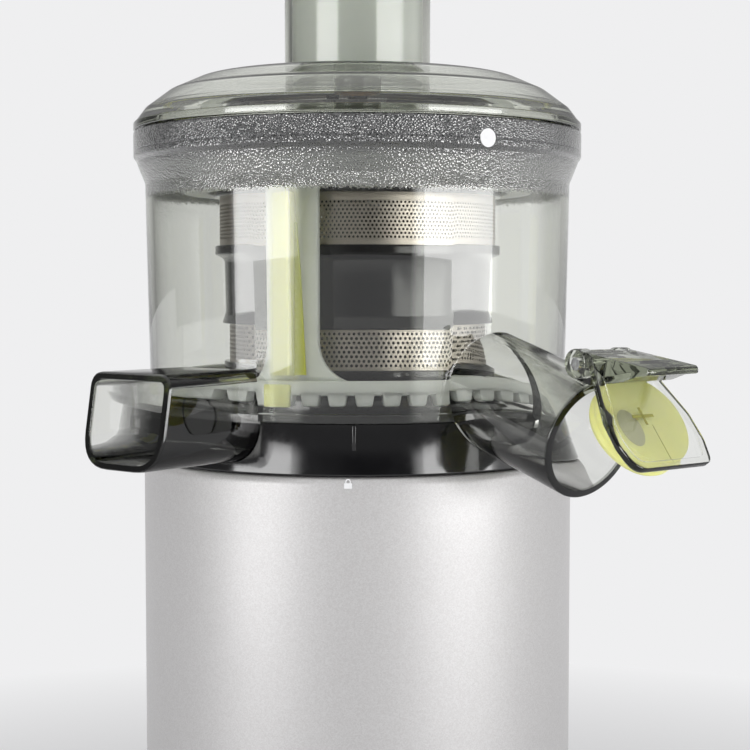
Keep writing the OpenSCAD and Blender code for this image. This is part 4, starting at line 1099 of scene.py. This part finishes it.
def spout_cap():
    """The clear cap: a plate with a raised rim, the hinge's barrel in two halves, and a finger tab."""
    plate = cap_layer(flap_outline(), cap_x, cap_x + cap_t, 0.7)
    dish = cap_layer(flap_outline(2.2), cap_x + cap_t - 0.5, cap_x + cap_t + 1)
    barrel = across_hinge(circle(barrel_r, 64), barrel_half, cap_place(), 0.5)
    top = barrel_r - 0.3
    tab = across_hinge(rounded([
        (0, top, 0), (tab_len, top, 1.6), (tab_len + 0.6, top - 2.2, 1), (tab_len - 4, 0.8, 3),
        (tab_len - 9, -1.8, 4), (tab_len - 15, -3.6, 3), (10.5, -1.9, 1), (8, -1.6, 1), (3, -3.4, 0.5),
    ], 1), barrel_half - 0.3, cap_place() @ about_hinge(tab_angle), 0.6)
    body = combined(combined(plate, dish), barrel, tab, operation="UNION")
    behind = hinge_x - barrel_r - 1
    over_spout = cap_layer(circle(juice_r + 0.3, 128), behind, cap_x)
    over_lug = cap_layer(oblong(-lug_half - 0.3, juice_r - 1.6, lug_half + 0.3, hinge_z), behind, cap_x)
    slot = across_hinge(circle(barrel_r + 0.4, 64), lug_half + 0.3, cap_place())
    bore = across_hinge(circle(pin_r, 40), barrel_half + 2, cap_place())
    piece("cap_shell", combined(body, over_spout, over_lug, slot, bore), "cap", "smoke_clear", ["spout_cap"])


def cap_marks():
    """The small cross and the weld line on the cap, and an oval on the plug's face under the cap: olive marks
    painted as the shade of moulded lines and of the plug's dimple.
    """
    face = cap_x + cap_t - 0.5
    bars = []
    # Painted shade: thin olive bars for the shade of the moulded cross and the weld line.
    for w, h, y, z in ((4.4, 0.5, -2, 0.5), (0.45, 3, -2, 0.5), (0.08, 6.4, 0, -9)):
        bar = rounded(oblong(y - w, z - h, y + w, z + h), 0.07)
        bars.append(cap_layer(bar, face - 0.02, face + 0.06))
    piece("cap_cross", joined(*bars), "cap", "lime_silicone", finish=olive_line_shade)
    # Painted shade: an olive oval for the shade of the plug's dimple.
    oval = [(4.2 * y - 8, 6.2 * z - 2.5) for y, z in circle(1, 48)]
    piece("plug_lock", cap_layer(oval, cap_x - 0.4, cap_x - 0.01), "cap", "lime_silicone", finish=olive_dimple_shade)


def sealing_plug():
    """The lime plug that goes into the spout, with two soft ribs round it."""
    outline = rounded([(0, plug_x, 0), (plug_r - 0.9, plug_x, 0.9), (plug_r, plug_x + 1.6, 0.6),
                       (plug_r - 0.5, plug_x + 3, 0.5), (plug_r, plug_x + 4.4, 0.6),
                       (plug_r, cap_x - 0.05, 0.1), (0, cap_x - 0.05, 0)], 0.5)
    piece("sealing_plug", lathe(outline, 128, cap_place() @ along_x), "cap", "lime_silicone", ["cap_plug"])


# ---- Lid and pusher ----

def lid():
    """The clear lid: domed top, feed chute with its tray, and the post that holds the bush."""
    inner = socket_r - 3.3
    dome = lathe(rounded([
        (inner, flange_z + 3.1, 0.3), (socket_r - 0.3, flange_z + 3.1, 0.5), (socket_r - 0.3, lid_z, 0.2),
        (flange_r, lid_z, 0.6), (flange_r, dome_z - 1, 0.6), (flange_r - 1, dome_z, 1),
        (flange_r - 4, dome_z + 4, 4), (flange_r - 12, dome_top - 6, 8), (flange_r - 22, dome_top - 1.5, 10),
        (flange_r - 34, dome_top, 8), (0, dome_top, 0), (0, dome_top - lid_t, 0),
        (flange_r - 34, dome_top - lid_t, 8), (flange_r - 22.5, dome_top - lid_t - 1.5, 10),
        (flange_r - 13.5, dome_top - lid_t - 5.8, 8), (flange_r - 6.6, dome_z + 2.4, 4),
        (inner, dome_z - 1, 1),
    ], 0.5, 6))
    over = Matrix.Translation((0, chute_y, 0))
    chute = lathe(rounded([
        (0, dome_z + 2, 0), (chute_r, dome_z + 2, 0), (chute_r, tray_z, 6), (tray_r, tray_top, 0.8),
        (tray_r - 1, tray_top, 0.3), (0, tray_top, 0),
    ], 0.5, 6), 160, over)
    post_z = lid_z - 11
    post = lathe(oblong(0, post_z, post_r, dome_top - 1), 96)
    body = combined(dome, chute, post, operation="UNION")
    throat = lathe(rounded([
        (0, dome_z - 9, 0), (chute_r - lid_t, dome_z - 9, 0), (chute_r - lid_t, tray_z, 6),
        (tray_r - lid_t, tray_top, 0.1), (tray_r - lid_t, tray_top + 5, 0), (0, tray_top + 5, 0),
    ], 0.5, 6), 160, over)
    bush = lathe(oblong(0, post_z - 1, 6, post_z + 10), 64)
    piece("lid_shell", combined(body, throat, bush), "lid", "smoke_clear", ["lid"])


def gasket():
    """The lime gasket under the lid, with two sealing lips."""
    low, high = node_box("lid_gasket")
    r_in = wall_in_top - 0.6
    outline = rounded([
        (r_in, low.z, 0.3), (high.x, low.z, 0.4), (high.x - 0.5, (low.z + high.z) / 2, 0.5),
        (high.x, high.z, 0.4), (r_in, high.z, 0.3),
    ], 0.3)
    piece("gasket_ring", lathe(outline), "gasket", "lime_silicone", ["lid_gasket"])


def pusher():
    """The pusher: a round plunger with a broad dished head and grip flutes."""
    low, high = node_box("pusher")
    outline = rounded([
        (0, low.z, 0), (21.4, low.z, 1.5), (plunger_r, low.z + 3, 2), (plunger_r, tray_z - 1, 1.5),
        (22.4, tray_top + 0.3, 1.5), (tray_r, tray_top + 0.3, 0.8), (tray_r, tray_top + 3.3, 1.8),
        (tray_r - 4, tray_top + 8, 3), (27, tray_top + 10.5, 4), (21, high.z, 2), (0, high.z, 0),
    ], 1, 6)
    body = lathe(outline, 192, Matrix.Translation((0, chute_y, 0)))
    cuts = []
    for k in range(24):
        a = 2 * math.pi * k / 24
        spot = Matrix.Translation(((tray_r + 1.6) * math.cos(a), chute_y + (tray_r + 1.6) * math.sin(a), 0))
        cuts.append(prism(circle(2.4, 16), tray_top + 1.4, tray_top + 12, spot))
    piece("pusher_body", combined(body, joined(*cuts)), "pusher", "frosted_white", ["pusher"])


# ---- Auger ----

def auger():
    """The auger: a hub that narrows upwards, wrapped by flights with rounded crests."""
    low, high = node_box("auger")
    z0 = strainer_low.z + 11.5
    z1 = upper_high.z - 2
    core = [(41, z0 + 0.3, 0.4), (41, z0 + 3, 2), (30, z0 + 7, 6), (24, z0 + 24, 8), (17, z1 - 12, 6),
            (9, z1, 3)]
    hub = lathe(rounded([
        (12.4, low.z, 0.3), (15.8, low.z, 0.5), (15.8, z0 + 0.3, 0.3), *core, (3.4, z1 + 2, 0.8),
        (3.4, high.z, 0.8), (0, high.z, 0), (0, low.z + 34, 0), (12.4, low.z + 34, 0.5),
    ], 0.5), 128)
    flights = [flight(z0 + 1.5, z1 - 2, 180 * k) for k in range(2)]
    piece("auger_body", combined(hub, *flights, operation="UNION"), "auger", "dark_resin", ["auger"])


def flight(low, high, start):
    """One flight: a rib swept along a helix, deep at the foot and shallow at the tip."""
    turn = 440
    steps = 150
    rings = []
    for k in range(steps + 1):
        t = k / steps
        a = math.radians(start - turn * t)
        z = low + (high - low) * t
        crest = 41.3 - 10 * max(0, t - 0.75) ** 1.2 - (18 * max(0, t - 0.9)) ** 1.6
        foot = max(8, 30 - 24 * t)
        thick = 3.4 - 1.4 * t
        ends = min(1, 12 * t + 0.15, 12 * (1 - t) + 0.15)
        half = [(foot - 6, thick * 1.3), ((foot + crest) / 2, thick * 0.75), (crest - 0.8, thick * 0.42),
                (crest, thick * 0.15)]
        section = [(r, -h) for r, h in half] + half[::-1]
        rings.append([(r * math.cos(a), r * math.sin(a), z + h * ends) for r, h in section])
    return loft(rings)


# ---- Stage, light and camera ----

BACKDROP = "efeff0"
PANEL = 5.0
OUTSIDE_LEVEL = 0.3
INSIDE_LEVEL = 1.75
camera_at = Vector((0, -0.568, 0.281))
camera_turn = (math.radians(86.68), 0, math.radians(-0.617))
lens_mm = 77.04


def floor():
    """A large pale floor that fades into the backdrop with distance."""
    finish, tree, shader, place = finish_named("painted_floor")
    cloud = grain(tree, place, 160)
    skin(tree, shader, tinted(tree, cloud, "e6e6e8", "ececee"), spread(tree, cloud, 0.55, 0.7))
    far = add(tree, "ShaderNodeVectorMath", {0: place}, operation="LENGTH").outputs["Value"]
    share = spread(tree, far, 0, 1, 0.16, 0.62)
    glow = add(tree, "ShaderNodeEmission", {"Color": linear(BACKDROP), "Strength": 1.0})
    both = add(tree, "ShaderNodeMixShader", {0: share, 1: shader.outputs[0], 2: glow.outputs[0]})
    tree.links.new(both.outputs[0], tree.nodes["Material Output"].inputs["Surface"])
    mesh = bpy.data.meshes.new("floor")
    mesh.from_pydata([(x, y, 0) for x, y in circle(6, 64)], [], [list(range(64))])
    mesh.materials.append(finish)
    linked("floor", mesh)


def surround():
    """The studio round the object: plain to the camera, and to reflections two tall soft lights,
    a bright back and a dark left side."""
    world = bpy.data.worlds.new("studio")
    world.use_nodes = True
    bpy.context.scene.world = world
    tree = world.node_tree
    direction = add(tree, "ShaderNodeTexCoord").outputs["Generated"]
    parts = add(tree, "ShaderNodeSeparateXYZ", {"Vector": direction})
    back = maths(tree, "MULTIPLY", parts.outputs["Y"], -1.0)
    azimuth = maths(tree, "ARCTAN2", parts.outputs["X"], back)
    share = spread(tree, azimuth, 0, 1, -math.pi, math.pi)
    ramp = add(tree, "ShaderNodeValToRGB", {"Fac": share})
    stops = [(-180, 0.9), (-152, 0.6), (-140, 0.18), (-98, 0.18), (-70, 0.3), (-66, PANEL), (-34, PANEL),
             (-29, 0.3), (0, 0.1), (28, 0.16), (33, PANEL), (74, PANEL), (80, 1.7), (106, 1.7), (122, 0.55),
             (150, 0.6), (180, 0.9)]
    elements = ramp.color_ramp.elements
    for angle, _ in stops[1:-1]:
        elements.new((angle + 180) / 360)
    for element, (_, level) in zip(elements, stops):
        element.color = (*[level / PANEL] * 3, 1)
    scaled = add(tree, "ShaderNodeVectorMath", {0: ramp.outputs[0], "Scale": PANEL}, operation="SCALE")
    up = spread(tree, parts.outputs["Z"], 0, 1, 0.14, 0.2)
    over = spread(tree, parts.outputs["Z"], 0.35, 1.1, 0.3, 0.75)
    studio = tinted(tree, up, scaled.outputs[0], over)
    rays = add(tree, "ShaderNodeLightPath").outputs
    lit = maths(tree, "GREATER_THAN", rays["Diffuse Depth"], 0.5)
    mirrored = maths(tree, "GREATER_THAN", rays["Glossy Depth"], 0.5)
    level = spread(tree, rays["Is Transmission Ray"], OUTSIDE_LEVEL, INSIDE_LEVEL, 0, 1)
    seen = tinted(tree, mirrored, BACKDROP, studio)
    colour = tinted(tree, lit, seen, level)
    tree.links.new(colour, tree.nodes["Background"].inputs["Color"])
    world.cycles.sampling_method = "NONE"


def soft_light(name, azimuth, height, distance, size, level, mirrored=True):
    """A soft panel of light of a given brightness that looks at the bowl. Only gloss may show it."""
    data = bpy.data.lights.new(name, "AREA")
    data.shape = "RECTANGLE"
    data.size, data.size_y = size
    data.energy = level * math.pi * size[0] * size[1]
    lamp = linked(name, data)
    a = math.radians(azimuth)
    lamp.location = (distance * math.sin(a), -distance * math.cos(a), height)
    aim = Vector((0, 0, 0.24)) - lamp.location
    lamp.rotation_euler = aim.to_track_quat("-Z", "Y").to_euler()
    lamp.visible_camera = False
    lamp.visible_glossy = mirrored
    lamp.visible_transmission = False


def camera():
    """The camera, level with the bowl and a little above it."""
    data = bpy.data.cameras.new("camera")
    data.lens = lens_mm
    thing = linked("camera", data)
    thing.location = camera_at
    thing.rotation_euler = camera_turn
    bpy.context.scene.camera = thing


rolled_rows = rolled_rows_tree()
dress_packed_parts()
drum()
lock_mark()
bowl()
bowl_foot()
flange_dot()
strainer_frame()
strainer_meshes()
wiper()
blades()
spout_cap()
cap_marks()
sealing_plug()
lid()
gasket()
pusher()
auger()
floor()
surround()
soft_light("left_panel", -50, 0.25, 1.2, (0.68, 0.43), PANEL)
soft_light("right_panel", 53.5, 0.25, 1.2, (0.86, 0.43), PANEL)
soft_light("top_panel", 15, 1.4, 0.5, (1.0, 0.8), 1.1, False)
soft_light("front_panel", 8, 0.7, 1.3, (0.9, 0.7), 0.9, False)
camera()
bpy.context.scene.view_settings.view_transform = "Standard"
